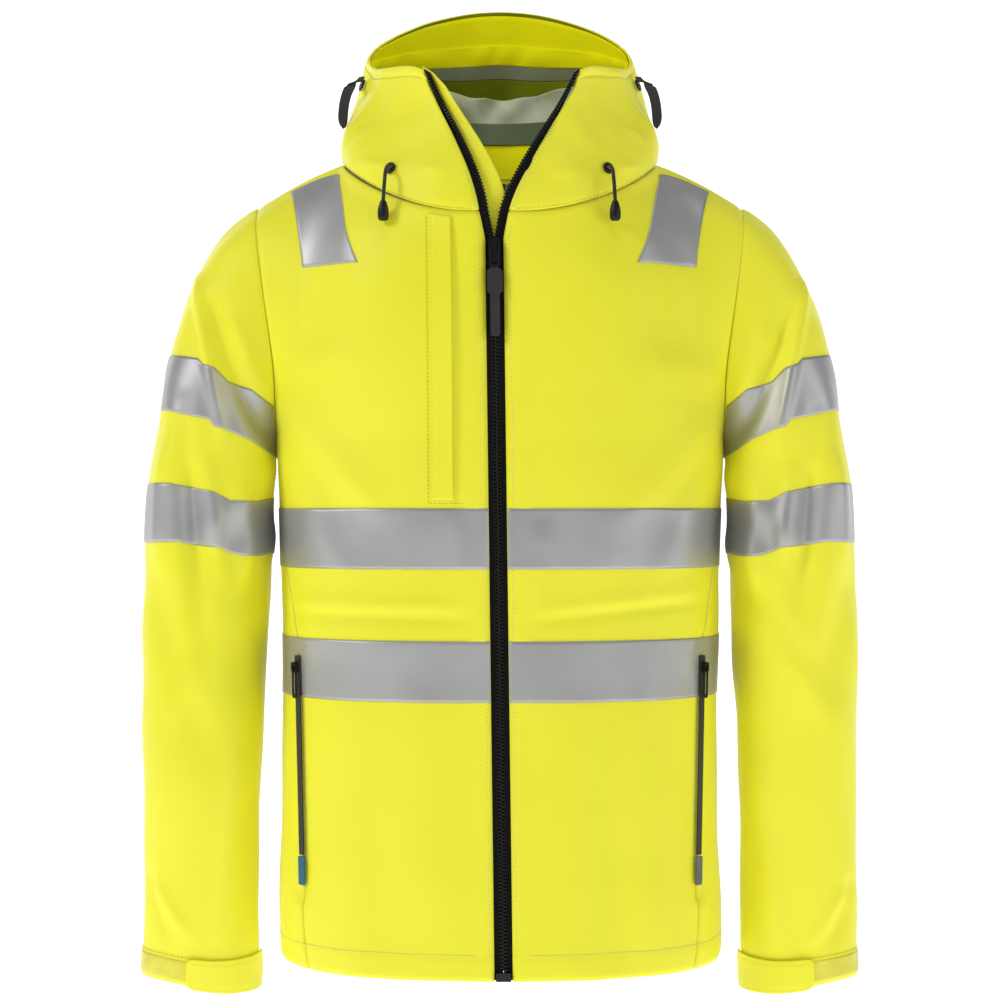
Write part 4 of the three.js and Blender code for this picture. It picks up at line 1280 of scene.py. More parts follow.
@dataclass(frozen=True)
class Finish:
    """A finish: two colours that mottle into each other, a surface and its bump, and a painted glow that lifts its
    shade.
    """

    name: str
    slot: Slot
    light: Triple
    dark: Triple
    roughness: float = 0.5
    rough_spread: float = 0.08
    metallic: float = 0.0
    sheen: float = 0.0
    # Painted light: emission in the cloth's own colour, which brightens the yellow where it lies in shade.
    glow: float = 0.0
    weave: float = 0.0
    threads: float = 1600
    grain: float = 0.0
    grain_scale: float = 900
    patch_scale: float = 9
    specular: float = 0.5

    def build(self) -> bpy.types.Material:
        """Make the material.

        Returns:
            The material, with its shader nodes linked.
        """
        material = bpy.data.materials.new(self.name)
        material.use_nodes = True
        tree = material.node_tree
        shader = tree.nodes["Principled BSDF"]
        shader.inputs["Metallic"].default_value = self.metallic
        shader.inputs["Sheen Weight"].default_value = self.sheen
        shader.inputs["Sheen Roughness"].default_value = 0.5
        shader.inputs["Specular IOR Level"].default_value = self.specular
        where = tree.nodes.new("ShaderNodeTexCoord")
        mottle = tree.nodes.new("ShaderNodeGroup")
        mottle.node_tree = bpy.data.node_groups["soft_mottle"]
        mottle.inputs["Size"].default_value = self.patch_scale
        mottle.inputs["Grain"].default_value = self.grain_scale
        tree.links.new(where.outputs["Object"], mottle.inputs["Place"])
        mix = tree.nodes.new("ShaderNodeMix")
        mix.data_type = "RGBA"
        mix.inputs["A"].default_value = (*self.dark, 1)
        mix.inputs["B"].default_value = (*self.light, 1)
        spread = tree.nodes.new("ShaderNodeMapRange")
        spread.inputs["From Min"].default_value = 0.35
        spread.inputs["From Max"].default_value = 0.65
        tree.links.new(mottle.outputs["Patch"], spread.inputs["Value"])
        tree.links.new(spread.outputs["Result"], mix.inputs["Factor"])
        tree.links.new(mix.outputs["Result"], shader.inputs["Base Color"])
        rough = tree.nodes.new("ShaderNodeMapRange")
        rough.inputs["To Min"].default_value = self.roughness - self.rough_spread
        rough.inputs["To Max"].default_value = self.roughness + self.rough_spread
        tree.links.new(mottle.outputs["Grain" if self.grain else "Patch"], rough.inputs["Value"])
        tree.links.new(rough.outputs["Result"], shader.inputs["Roughness"])
        # Painted light: the mottled colour glows, so the cloth looks lit in its shade as well.
        if self.glow:
            tree.links.new(mix.outputs["Result"], shader.inputs["Emission Color"])
            shader.inputs["Emission Strength"].default_value = self.glow
        self._relief(tree, shader, mottle)
        return material

    def _relief(self, tree: bpy.types.NodeTree, shader: bpy.types.Node, mottle: bpy.types.Node) -> None:
        """Add the bump of the weave or the grain."""
        if not (self.weave or self.grain):
            return
        bump = tree.nodes.new("ShaderNodeBump")
        bump.inputs["Distance"].default_value = 0.0002
        if self.weave:
            uv = tree.nodes.new("ShaderNodeUVMap")
            uv.uv_map = "cloth"
            weave = tree.nodes.new("ShaderNodeGroup")
            weave.node_tree = bpy.data.node_groups["plain_weave"]
            weave.inputs["Threads"].default_value = self.threads
            tree.links.new(uv.outputs["UV"], weave.inputs["Cloth"])
            bump.inputs["Strength"].default_value = self.weave
            tree.links.new(weave.outputs["Height"], bump.inputs["Height"])
        else:
            bump.inputs["Strength"].default_value = self.grain
            tree.links.new(mottle.outputs["Grain"], bump.inputs["Height"])
        tree.links.new(bump.outputs["Normal"], shader.inputs["Normal"])


FINISHES = [
    Finish("yellow_shell", Slot.SHELL, (0.90, 0.865, 0.045), (0.85, 0.83, 0.03), 0.5, 0.06, sheen=0.03,
           glow=0.06, weave=0.1, threads=1400, patch_scale=5, specular=0.3),
    # Painted light: a brighter copy of the yellow shell cloth with a strong glow, for the lit facings inside the hood.
    Finish("yellow_inside", Slot.SHELL, (0.93, 0.88, 0.006), (0.84, 0.80, 0.004), 0.6, glow=0.16,
           weave=0.12,
           patch_scale=7, specular=0.05),
    # Painted shade: a dark copy of the yellow shell cloth, for the inside of the hood where shade falls.
    Finish("olive_inside", Slot.SHELL, (0.26, 0.29, 0.004), (0.17, 0.20, 0.003), 0.5, weave=0.1,
           patch_scale=14, specular=0.1),
    Finish("seam_tape", Slot.LINING, (0.33, 0.35, 0.24), (0.24, 0.27, 0.16), 0.38, grain=0.1,
           patch_scale=20),
    Finish("dark_seam_tape", Slot.LINING, (0.12, 0.17, 0.06), (0.09, 0.13, 0.04), 0.38, grain=0.1,
           patch_scale=20),
    Finish("pale_lining", Slot.LINING, (0.66, 0.68, 0.55), (0.52, 0.56, 0.36), 0.55, weave=0.2,
           threads=900, patch_scale=12),
    Finish("silver_tape", Slot.TAPE, (0.49, 0.49, 0.49), (0.43, 0.43, 0.43), 0.46, 0.08, metallic=0.55,
           grain=0.35, grain_scale=2600, patch_scale=16),
    Finish("black_zip_tape", Slot.ZIP, (0.009, 0.009, 0.010), (0.006, 0.006, 0.006), 0.8, weave=0.5,
           threads=1500, specular=0.15),
    Finish("black_moulded", Slot.MOULDED, (0.010, 0.010, 0.010), (0.006, 0.006, 0.006), 0.4, 0.06,
           grain=0.08,
           grain_scale=1500, specular=0.3),
    Finish("black_webbing_weave", Slot.WEBBING, (0.02, 0.02, 0.02), (0.01, 0.01, 0.01), 0.75,
           sheen=0.15, grain=0.5, grain_scale=1400),
    Finish("black_braid", Slot.CORD, (0.02, 0.02, 0.02), (0.01, 0.01, 0.01), 0.7, sheen=0.1, grain=0.5,
           grain_scale=1300),
    Finish("yellow_loop_pile", Slot.LOOP, (0.84, 0.78, 0.09), (0.72, 0.68, 0.06), 0.95, sheen=0.5,
           glow=0.05,
           grain=1.0, grain_scale=700, patch_scale=60),
    Finish("grey_webbing", Slot.GREY_TAB, (0.17, 0.18, 0.19), (0.11, 0.12, 0.13), 0.75, grain=0.5,
           grain_scale=1200),
    Finish("blue_webbing", Slot.BLUE_TAB, (0.025, 0.13, 0.24), (0.015, 0.08, 0.16), 0.7, grain=0.5,
           grain_scale=1200),
    Finish("yellow_thread", Slot.SHELL, (0.60, 0.60, 0.03), (0.50, 0.52, 0.02), 0.6, sheen=0.2,
           patch_scale=30),
    Finish("pale_thread", Slot.SHELL, (0.60, 0.61, 0.38), (0.48, 0.50, 0.30), 0.6, sheen=0.2,
           patch_scale=30),
    Finish("black_thread", Slot.WEBBING, (0.02, 0.02, 0.02), (0.012, 0.012, 0.012), 0.5, patch_scale=30),
]


class Wardrobe:
    """Holds the built materials and dresses pieces with them."""

    def __init__(self) -> None:
        """Build the shared node groups and every finish once."""
        weave_group()
        mottle_group()
        self.finishes = {finish.name: finish for finish in FINISHES}
        self.built = {finish.name: finish.build() for finish in FINISHES}

    def dress(self, piece: bpy.types.Object, outer: str, inner: str = "") -> bpy.types.Object:
        """Give a piece its finish, and its inner face another one.

        Args:
            piece: A new piece or a carried-over node.
            outer: The finish's name.
            inner: The finish of the side under the wall, if it differs.

        Returns:
            The same piece.
        """
        piece.data.materials.clear()
        piece.data.materials.append(self.built[outer])
        if inner:
            piece.data.materials.append(self.built[inner])
            piece.modifiers["wall"].material_offset = 1
        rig.slot(piece, self.finishes[outer].slot.value)
        return piece


ROOT = "jacket_body"


@dataclass(frozen=True)
class Bend:
    """How a cloth is carried: by one body, or turning from the jacket's body to another one."""

    body: str
    start: Triple | None = None
    end: Triple | None = None

    def carry(self, piece: bpy.types.Object) -> bpy.types.Object:
        """Fix the piece to its body or across the joint."""
        if self.start is None:
            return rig.ride(piece, self.body)
        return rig.blend(piece, ROOT, self.body, start=self.start, end=self.end)


BODY = Bend(ROOT)
CROWN = Bend("hood_crown", (0, -0.016, 0.03), (0, 0.044, 0.03))


def arm(name: str, sign: float) -> Bend:
    """The turn from the body to a sleeve, across the armhole."""
    return Bend(f"{name}_sleeve", (sign * 0.194, -0.056, -0.234), (sign * 0.2537, -0.056, -0.2625))


@dataclass
class Stitching:
    """Rows of stitches, gathered in one piece for each body they ride on."""

    wardrobe: Wardrobe
    pitch: float = 3.4
    template: bpy.types.Mesh | None = None

    def sew(
        self, name: str, thread: str, bend: Bend, rows: Sequence[tuple[Place, Path, float]],
    ) -> bpy.types.Object:
        """Sew rows of stitches.

        Args:
            name: The piece's name.
            thread: The thread's finish.
            bend: What carries the stitches.
            rows: A surface, a path on it and a height over it for each row.

        Returns:
            The new piece.
        """
        self.template = self.template or stitch_template()
        bm = bmesh.new()
        for place, path, depth in rows:
            repeated(bm, self.template, Track.lay(place, path, self.pitch, depth))
        piece = mesh_object(name, bm)
        self.wardrobe.dress(piece, thread)
        return bend.carry(piece)


def line(u: float | Callable[[Array], Array], v: float | Callable[[Array], Array]) -> Path:
    """A path from two shares, each a number or a function of the share along the path."""

    def path(t: Array) -> tuple[Array, Array]:
        """The two shares at each share of the path."""
        return (u(t) if callable(u) else u + 0 * t), (v(t) if callable(v) else v + 0 * t)

    return path


def declare(cloth: Cloth, piece: bpy.types.Object, rests_on: Sequence[str], held: str = "hung") -> None:
    """Say that a piece is a sheet cut to the flat size that its own grid measures."""
    area = min(cloth.area, 0.999 * cloth.flat[0] * cloth.flat[1])
    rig.sheet(piece, flat=cloth.flat, held=held, rests_on=list(rests_on), area=area)
    LOG.info("%s: flat %.3f x %.3f m, area %.4f m2", piece.name, *cloth.flat, area)


SIDES = (("left", 1.0), ("right", -1.0))


# ---------------------------------------------------------------- body
@dataclass
class BodyShell:
    """Fronts, back and side panels, with their seams, hem and front edges."""

    wardrobe: Wardrobe
    stitching: Stitching
    front_width: float = 182
    seam_dip: float = 1.5
    hem_height: float = 21
    placket: float = 10.5
    column: float = 2.2
    finest: float = 3.4

    def _levels(self, v: Array) -> Array:
        """The hem's doubled cloth, its stitched groove and the dip at the neck and shoulder seam."""
        z = v * CUT.neck_front
        doubled = 0.6 * (1 - smooth(z, self.hem_height - 1.5, self.hem_height + 2))
        groove = -0.55 * bell(z - self.hem_height, 1.5)
        roll = -1.0 * bell(z, 1.6)
        return doubled + groove + roll - self.seam_dip * bell(CUT.neck_front - z, SEAM_WIDTH)

    def front(self, name: str, sign: float) -> bpy.types.Object:
        """One front, from the zip to the side panel."""
        place = body_place(sign, False)

        def put(a: Array, v: Array, depth: Array) -> Array:
            """Place the front with its placket and seams."""
            from_zip = a * self.front_width
            from_seam = (1 - a) * self.front_width
            relief = 0.7 * (1 - smooth(from_zip, self.placket - 1, self.placket + 2))
            relief = relief - 0.9 * bell(from_zip, 0.9) - 0.5 * bell(from_zip - 2.7, 0.9)
            relief = relief - self.seam_dip * bell(from_seam, SEAM_WIDTH)
            return place(a * TORSO.seam(v), v, depth + relief + self._levels(v))

        columns, rows = int(self.front_width / self.column), int(CUT.neck_front / self.finest)
        cloth = Cloth(f"{name}_front_cloth", columns, rows, CUT.shell)
        piece = cloth.make(put, away_from(0, 0))
        self.wardrobe.dress(piece, "yellow_shell", "pale_lining")
        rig.replaces(piece, f"{name}_front")
        BODY.carry(piece)
        declare(cloth, piece, ["hanger_loop"])
        return piece

    def back(self) -> bpy.types.Object:
        """The back in one piece."""

        def put(a: Array, v: Array, depth: Array) -> Array:
            """Place the back with its seams."""
            q = 2 * a - 1
            from_seam = (1 - np.abs(q)) * self.front_width
            relief = self._levels(v) - self.seam_dip * bell(from_seam, SEAM_WIDTH)
            return back_place(q * TORSO.seam(v), v, depth + relief)

        cloth = Cloth("back_cloth", 120, int(CUT.neck_front / self.finest), CUT.shell)
        piece = cloth.make(put, away_from(0, 0))
        self.wardrobe.dress(piece, "yellow_shell", "pale_lining")
        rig.replaces(piece, "back")
        BODY.carry(piece)
        declare(cloth, piece, ["hanger_loop"])
        return piece

    def side(self, name: str, sign: float) -> bpy.types.Object:
        """One side panel, tapering to the underarm."""
        place = around_place(sign)
        top = (CUT.underarm - 1.5) / CUT.neck_front

        def put(a: Array, share: Array, depth: Array) -> Array:
            """Place the panel between its two seams."""
            v = share * top
            seam = TORSO.seam(v)
            from_seam = np.minimum(a, 1 - a) * 2 * (1 - seam) * 290
            t = lerp(seam, 2 - seam, a)
            return place(t, v, depth - self.seam_dip * bell(from_seam, SEAM_WIDTH) + self._levels(v))

        cloth = Cloth(f"{name}_side_cloth", 60, int(CUT.underarm / self.finest), CUT.shell)
        piece = cloth.make(put, away_from(0, 0))
        self.wardrobe.dress(piece, "yellow_shell", "pale_lining")
        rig.replaces(piece, f"{name}_side_panel")
        BODY.carry(piece)
        declare(cloth, piece, ["hanger_loop"])
        return piece

    def stitches(self) -> bpy.types.Object:
        """Topstitching beside the zip, round the hem and beside the side seams."""
        hem = (self.hem_height + 0.3) / CUT.neck_front
        rows = []
        for _, sign in SIDES:
            front = body_place(sign, False)
            edge = 2.7 / self.front_width
            rows.append((front, line(lambda t, e=edge: e * TORSO.seam(t), lambda t: 0.01 + 0.97 * t), 0.25))
            rows.append((around_place(sign), line(lambda t: lerp(0.02, 2.0, t), hem), 0.12))
            beside = line(lambda t: TORSO.seam(0.42 + 0.27 * t) - 0.012, lambda t: 0.42 + 0.27 * t)
            rows.append((front, beside, 0.1))
        return self.stitching.sew("body_stitches", "pale_thread", BODY, rows)

    def build(self) -> list[bpy.types.Object]:
        """Build the whole body shell."""
        pieces = [self.front(name, sign) for name, sign in SIDES]
        pieces += [self.side(name, sign) for name, sign in SIDES]
        return [*pieces, self.back(), self.stitches()]


@dataclass
class BodyTapes:
    """Reflective bands round the chest and waist, and the shoulder patches."""

    wardrobe: Wardrobe
    shoulder_foot: float = 589.5
    shoulder_head: float = 0.985
    shoulder_inner: tuple[float, float] = (0.386, 0.585)
    shoulder_outer: tuple[float, float] = (0.732, 0.845)

    def _strip(
        self, name: str, columns: int, rows: int, place: Place, shares: Callable, node: str,
    ) -> bpy.types.Object:
        """Lay one strip of tape by the shares that a function gives for its own two shares."""

        def put(a: Array, b: Array, depth: Array) -> Array:
            """Place the strip on the folded cloth."""
            u, v = shares(a, b)
            return place(u, v, depth + TAPE_LIFT)

        piece = Cloth(name, columns, rows, TAPE_WALL).make(put, away_from(0, 0))
        self.wardrobe.dress(piece, "silver_tape")
        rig.replaces(piece, node)
        return BODY.carry(piece)

    def _foot(self, u: Array) -> Array:
        """The share up the front where it reaches the foot of the shoulder patch, by halving."""
        low, high = np.full_like(u, 0.8), np.ones_like(u)
        for _ in range(HALVINGS):
            middle = (low + high) / 2
            under = TORSO.quarter(False, u, middle)[..., 2] < self.shoulder_foot
            low, high = np.where(under, middle, low), np.where(under, high, middle)
        return low

    def build(self) -> list[bpy.types.Object]:
        """Lay every strip."""
        made = []
        chest = CUT.underarm - CUT.chest_tape_drop - CUT.tape_width
        for band, foot in (("chest", chest), ("waist", CUT.waist_tape)):
            low, high = foot / CUT.neck_front, (foot + CUT.tape_width) / CUT.neck_front
            for name, sign in SIDES:

                def side(a: Array, b: Array, low: float = low, high: float = high) -> tuple[Array, Array]:
                    """From the zip round the side panel to the back's seam."""
                    v = lerp(low, high, b)
                    return lerp(0.0008, 2 - TORSO.seam(v), a), v

                place, node = around_place(sign), f"{band}_tape_{name}"
                made.append(self._strip(f"{band}_band_{name}", 150, 18, place, side, node))

            def across(a: Array, b: Array, low: float = low, high: float = high) -> tuple[Array, Array]:
                """Right across the back."""
                v = lerp(low, high, b)
                return (2 * a - 1) * TORSO.seam(v), v

            made.append(self._strip(f"{band}_band_back", 140, 18, back_place, across, f"{band}_tape_back"))

        def shoulder(a: Array, b: Array) -> tuple[Array, Array]:
            """A slanted patch with a level foot that widens a little towards the seam."""
            u = lerp(lerp(*self.shoulder_inner, b), lerp(*self.shoulder_outer, b), a)
            return u, lerp(self._foot(u), self.shoulder_head, b)

        for name, sign in SIDES:
            place, node = body_place(sign, False), f"shoulder_tape_{name}"
            made.append(self._strip(f"shoulder_patch_{name}", 24, 34, place, shoulder, node))
        return made


# ---------------------------------------------------------------- sleeves
@dataclass
class Sleeve:
    """One sleeve with its tapes, cuff hem, loop strip and tab."""

    name: str
    sign: float
    wardrobe: Wardrobe
    stitching: Stitching
    cuff_stitch: float = -3.0
    upper_head: tuple[tuple[float, float], ...] = (
        (194, 473), (210, 487), (230, 494), (241, 505), (251, 507), (257, 513), (282, 517), (312, 520))
    upper_foot: tuple[tuple[float, float], ...] = (
        (194, 427), (202, 434), (216, 445), (231, 452), (242, 455), (246, 461), (257, 463), (290, 469),
        (312, 471))
    lower_head: tuple[tuple[float, float], ...] = (
        (198, 396), (213, 392), (230, 393), (241, 400), (267, 405), (277, 407), (312, 407))
    lower_foot: tuple[tuple[float, float], ...] = (
        (197, 347), (212, 345), (224, 346), (238, 353), (260, 355), (271, 358), (312, 356))

    def __post_init__(self) -> None:
        """Prepare the surface and the turn at the armhole."""
        self.place = sleeve_place(self.sign)
        self.bend = arm(self.name, self.sign)
        self.out = away_from(self.sign * 258, -22)

    def share(self, z: Array) -> Array:
        """The share down the sleeve at a height below the loft."""
        fall = (SLEEVE.loft_foot - z) / (SLEEVE.loft_foot + CUT.sleeve_drop)
        return CUT.loft_share + (1 - CUT.loft_share) * fall

    def shell(self) -> bpy.types.Object:
        """The sleeve's tube, with its cuff hem and the line that its folds gather at."""

        def put(a: Array, b: Array, depth: Array) -> Array:
            """Place the tube."""
            s = 1 - b
            fall = (s - CUT.loft_share) / (1 - CUT.loft_share)
            z = SLEEVE.loft_foot - fall * (SLEEVE.loft_foot + CUT.sleeve_drop)
            over = z - self.cuff_stitch
            cuff = 0.7 * (1 - smooth(over, -1, 3)) - 0.8 * bell(over - 1, 1.6)
            roll = -1.2 * bell(z + CUT.sleeve_drop, 1.8) - 0.8 * bell(s * 420, 3)
            under = -0.9 * bell((a - 0.5) * 330, 1.6) * smooth(s, 0.02, 0.1)
            return self.place(a, s, depth + cuff + roll + under)

        cloth = Cloth(f"{self.name}_sleeve_cloth", 150, 215, CUT.shell, wrap=True)
        piece = cloth.make(put, self.out)
        self.wardrobe.dress(piece, "yellow_shell", "pale_lining")
        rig.replaces(piece, f"{self.name}_sleeve")
        self.bend.carry(piece)
        declare(cloth, piece, [f"{self.name}_front_cloth"])
        return piece

    def bands(self) -> list[bpy.types.Object]:
        """The two slanted reflective bands."""
        made = []
        edges = (("upper", self.upper_head, self.upper_foot), ("lower", self.lower_head, self.lower_foot))
        for part, head, foot in edges:

            def put(a: Array, b: Array, depth: Array, head: Sequence = head, foot: Sequence = foot) -> Array:
                """Place the band between its two edges, which step at the sleeve's folds."""
                high = np.maximum(SLEEVE.crossing(a, head), CLOSEST)
                low = np.maximum(SLEEVE.crossing(a, foot), 2 * CLOSEST)
                return self.place(a, lerp(low, high, b), depth + TAPE_LIFT)

            piece = Cloth(f"{self.name}_{part}_band", 170, 18, TAPE_WALL, wrap=True).make(put, self.out)
            self.wardrobe.dress(piece, "silver_tape")
            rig.replaces(piece, f"{self.name}_{part}_arm_tape")
            made.append(self.bend.carry(piece))
        return made

    def cuff(self) -> list[bpy.types.Object]:
        """The loop strip and the rounded tab that closes on it."""
        strip_low, strip_high = -CUT.sleeve_drop + 3.5, -5.0

        def strip(a: Array, b: Array, depth: Array) -> Array:
            """A long strip over the front of the cuff."""
            return self.place(lerp(-0.06, 0.47, a), self.share(lerp(strip_low, strip_high, b)), depth + 1.0)

        loop = Cloth(f"{self.name}_cuff_pile", 90, 10, 0.9).make(strip, self.out)
        self.wardrobe.dress(loop, "yellow_loop_pile")
        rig.replaces(loop, f"{self.name}_cuff_loop_strip")
        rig.ride(loop, f"{self.name}_sleeve")

        def tab(a: Array, b: Array, depth: Array) -> Array:
            """The tab, its free end rounded and standing a little off."""
            corner, length = 5.5, 78
            reach = a * length
            inset = corner - np.sqrt(np.maximum(corner**2 - np.maximum(corner - reach, 0) ** 2, 0))
            low, high = -CUT.sleeve_drop - 1.5 + inset, 3.0 - 0.05 * (length - reach) - inset
            crown = 0.7 * (1 - (2 * b - 1) ** 4) + 1.0 * (1 - smooth(reach, 0, 26))
            edge = np.minimum(np.minimum(b, 1 - b) * 28, reach)
            groove = -0.35 * bell(edge - 3, 0.8)
            height = depth + 2.8 + crown + groove
            return self.place(lerp(0.235, 0.5, a), self.share(lerp(low, high, b)), height)

        flap = Cloth(f"{self.name}_cuff_flap", 70, 26, 1.8).make(tab, self.out)
        self.wardrobe.dress(flap, "yellow_shell")
        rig.replaces(flap, f"{self.name}_cuff_tab")
        root, turned = (to_row(np.array([self.sign * x, y, -15.0])) for x, y in ((206, -24), (210, -36)))
        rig.blend(flap, f"{self.name}_sleeve", f"{self.name}_cuff_tab", start=tuple(root), end=tuple(turned))
        return [loop, flap]

    def stitches(self) -> bpy.types.Object:
        """The cuff hem's stitching."""
        around = line(lambda t: t, float(self.share(np.array(self.cuff_stitch + 1))))
        sleeve = Bend(f"{self.name}_sleeve")
        rows = [(self.place, around, 0.1)]
        return self.stitching.sew(f"{self.name}_cuff_stitches", "yellow_thread", sleeve, rows)

    def build(self) -> list[bpy.types.Object]:
        """Build the sleeve and everything on it."""
        return [self.shell(), *self.bands(), *self.cuff(), self.stitches()]


# ---------------------------------------------------------------- hood
@dataclass
class Hood:
    """The hood's shell, its brim facing, gathered channel, seam tapes and inner back."""

    wardrobe: Wardrobe
    stitching: Stitching

    def shell(self) -> bpy.types.Object:
        """The whole hood from front edge to front edge."""

        def put(a: Array, b: Array, depth: Array) -> Array:
            """Place the hood with its rolled rim, front edges and neck seam."""
            q = 2 * a - 1
            from_zip = (1 - np.abs(q)) * 330
            rim = 0.8 * smooth(b, 0.93, 0.95) - 0.5 * bell((b - 0.925) * 150, 1.4)
            rim = rim - 1.2 * bell((1 - b) * 150, 1.8)
            edge = -0.8 * bell(from_zip, 1.0) - 0.4 * bell(from_zip - 3, 1)
            crown = -0.8 * (bell((np.abs(q) - 0.40) * 330, 2.0)) * smooth(b, 0.1, 0.3)
            return hood_place(q, b, depth + rim + edge + crown - 1.4 * bell(b * 140, 2.6))

        cloth = Cloth("hood_cloth", 260, 84, CUT.shell)
        piece = cloth.make(put, away_from(0, 40))
        # The hood's inner face takes the shell cloth darkened with painted shade.
        self.wardrobe.dress(piece, "yellow_shell", "olive_inside")
        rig.replaces(piece, "hood_left_side", "hood_right_side", "hood_crown")
        CROWN.carry(piece)
        declare(cloth, piece, ["back_cloth"])
        return piece

    def _inside(self, name: str, finish: str, reach: float, low: float, high: float, depth: float,
                gather: float = 0.0) -> bpy.types.Object:
        """Line a band inside the hood.

        Args:
            name: The piece's name.
            finish: Its finish.
            reach: How far round it goes, as a share of each half.
            low, high: The band's edges as shares from neck to rim.
            depth: How far under the hood's face it lies, in millimetres.
            gather: The height of gathered pleats.

        Returns:
            The new piece.
        """

        def put(a: Array, b: Array, over: Array) -> Array:
            """Place the band."""
            q = (2 * a - 1) * reach
            pleats = np.sin(q * 58 + 2 * np.sin(q * 17)) * np.sin(math.pi * b) ** 0.5 if gather else 0
            puff = gather * 1.3 * np.sin(math.pi * b) if gather else 0
            return hood_place(q, lerp(low, high, b), over - depth - puff - gather * pleats)

        piece = Cloth(name, 200, 14, 0.6).make(put, away_from(0, 40))
        self.wardrobe.dress(piece, finish)
        return CROWN.carry(piece)

    def inner_back(self) -> list[bpy.types.Object]:
        """The hood's own lining behind the neck: plain foot, taped seam and a crumpled fold."""
        made = []
        bands = (
            ("neck_lining", "yellow_inside", 684, 721, 0.6),
            ("neck_seam_tape", "dark_seam_tape", 719, 741, 0.0),
            ("lining_fold", "pale_lining", 738, 768, 7.0),
        )
        for name, finish, low, high, crumple in bands:

            def put(
                a: Array, b: Array, over: Array,
                low: float = low, high: float = high, crumple: float = crumple,
            ) -> Array:
                """Place a band of the inner back."""
                x = (2 * a - 1) * 74
                z = lerp(low, high, b)
                y = 68 + 0.5 * (z - 684) - (x / 74) ** 2 * (18 + 0.2 * (z - 684))
                wave = np.sin(x / 11 + 1.2 * np.sin(x / 17)) * np.sin(math.pi * b)
                wave = wave + 0.5 * np.sin(x / 5 + 4 * b)
                fold = crumple > 2
                drop = -4 * np.cos(x / 26) * b if fold else 0
                forward = 10 * b if fold else (0.0 if crumple else 2.0)
                return vectors(x, y - over - forward - crumple * wave * b, z + drop)

            piece = Cloth(name, 90, 20, 0.8).make(put, towards((0.0, -1.0, 0.0)))
            self.wardrobe.dress(piece, finish)
            made.append(BODY.carry(piece))
        return made

    def build(self) -> list[bpy.types.Object]:
        """Build the hood."""
        facing = self._inside("brim_facing", "yellow_inside", 0.93, 0.83, 0.992, 3.4)
        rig.replaces(facing, "hood_brim_facing")
        made = [
            self.shell(), facing,
            self._inside("gathered_channel", "yellow_inside", 0.8, 0.876, 0.924, 5.0, 1.2),
            self._inside("hood_seam_tape", "seam_tape", 0.8, 0.838, 0.88, 4.4),
            # The inner panel is shell cloth darkened with painted shade.
            self._inside("hood_inner_panel", "olive_inside", 0.8, 0.72, 0.841, 4.1),
            self._inside("hood_dark_tape", "dark_seam_tape", 0.6, 0.56, 0.61, 3.4),
            *self.inner_back(),
        ]
        neck = line(lambda t: lerp(-0.985, 0.985, t), 0.018)
        rim = line(lambda t: lerp(-0.97, 0.97, t), 0.915)
        made.append(self.stitching.sew("neck_stitches", "yellow_thread", BODY, [(hood_place, neck, 0.1)]))
        made.append(self.stitching.sew("brim_stitches", "yellow_thread", CROWN, [(hood_place, rim, 0.15)]))
        fronts = [(zip_place(sign), line(-2.9, lambda t: 1.02 + 0.95 * t), 0.25) for _, sign in SIDES]
        made.append(self.stitching.sew("collar_stitches", "pale_thread", BODY, fronts))
        return made


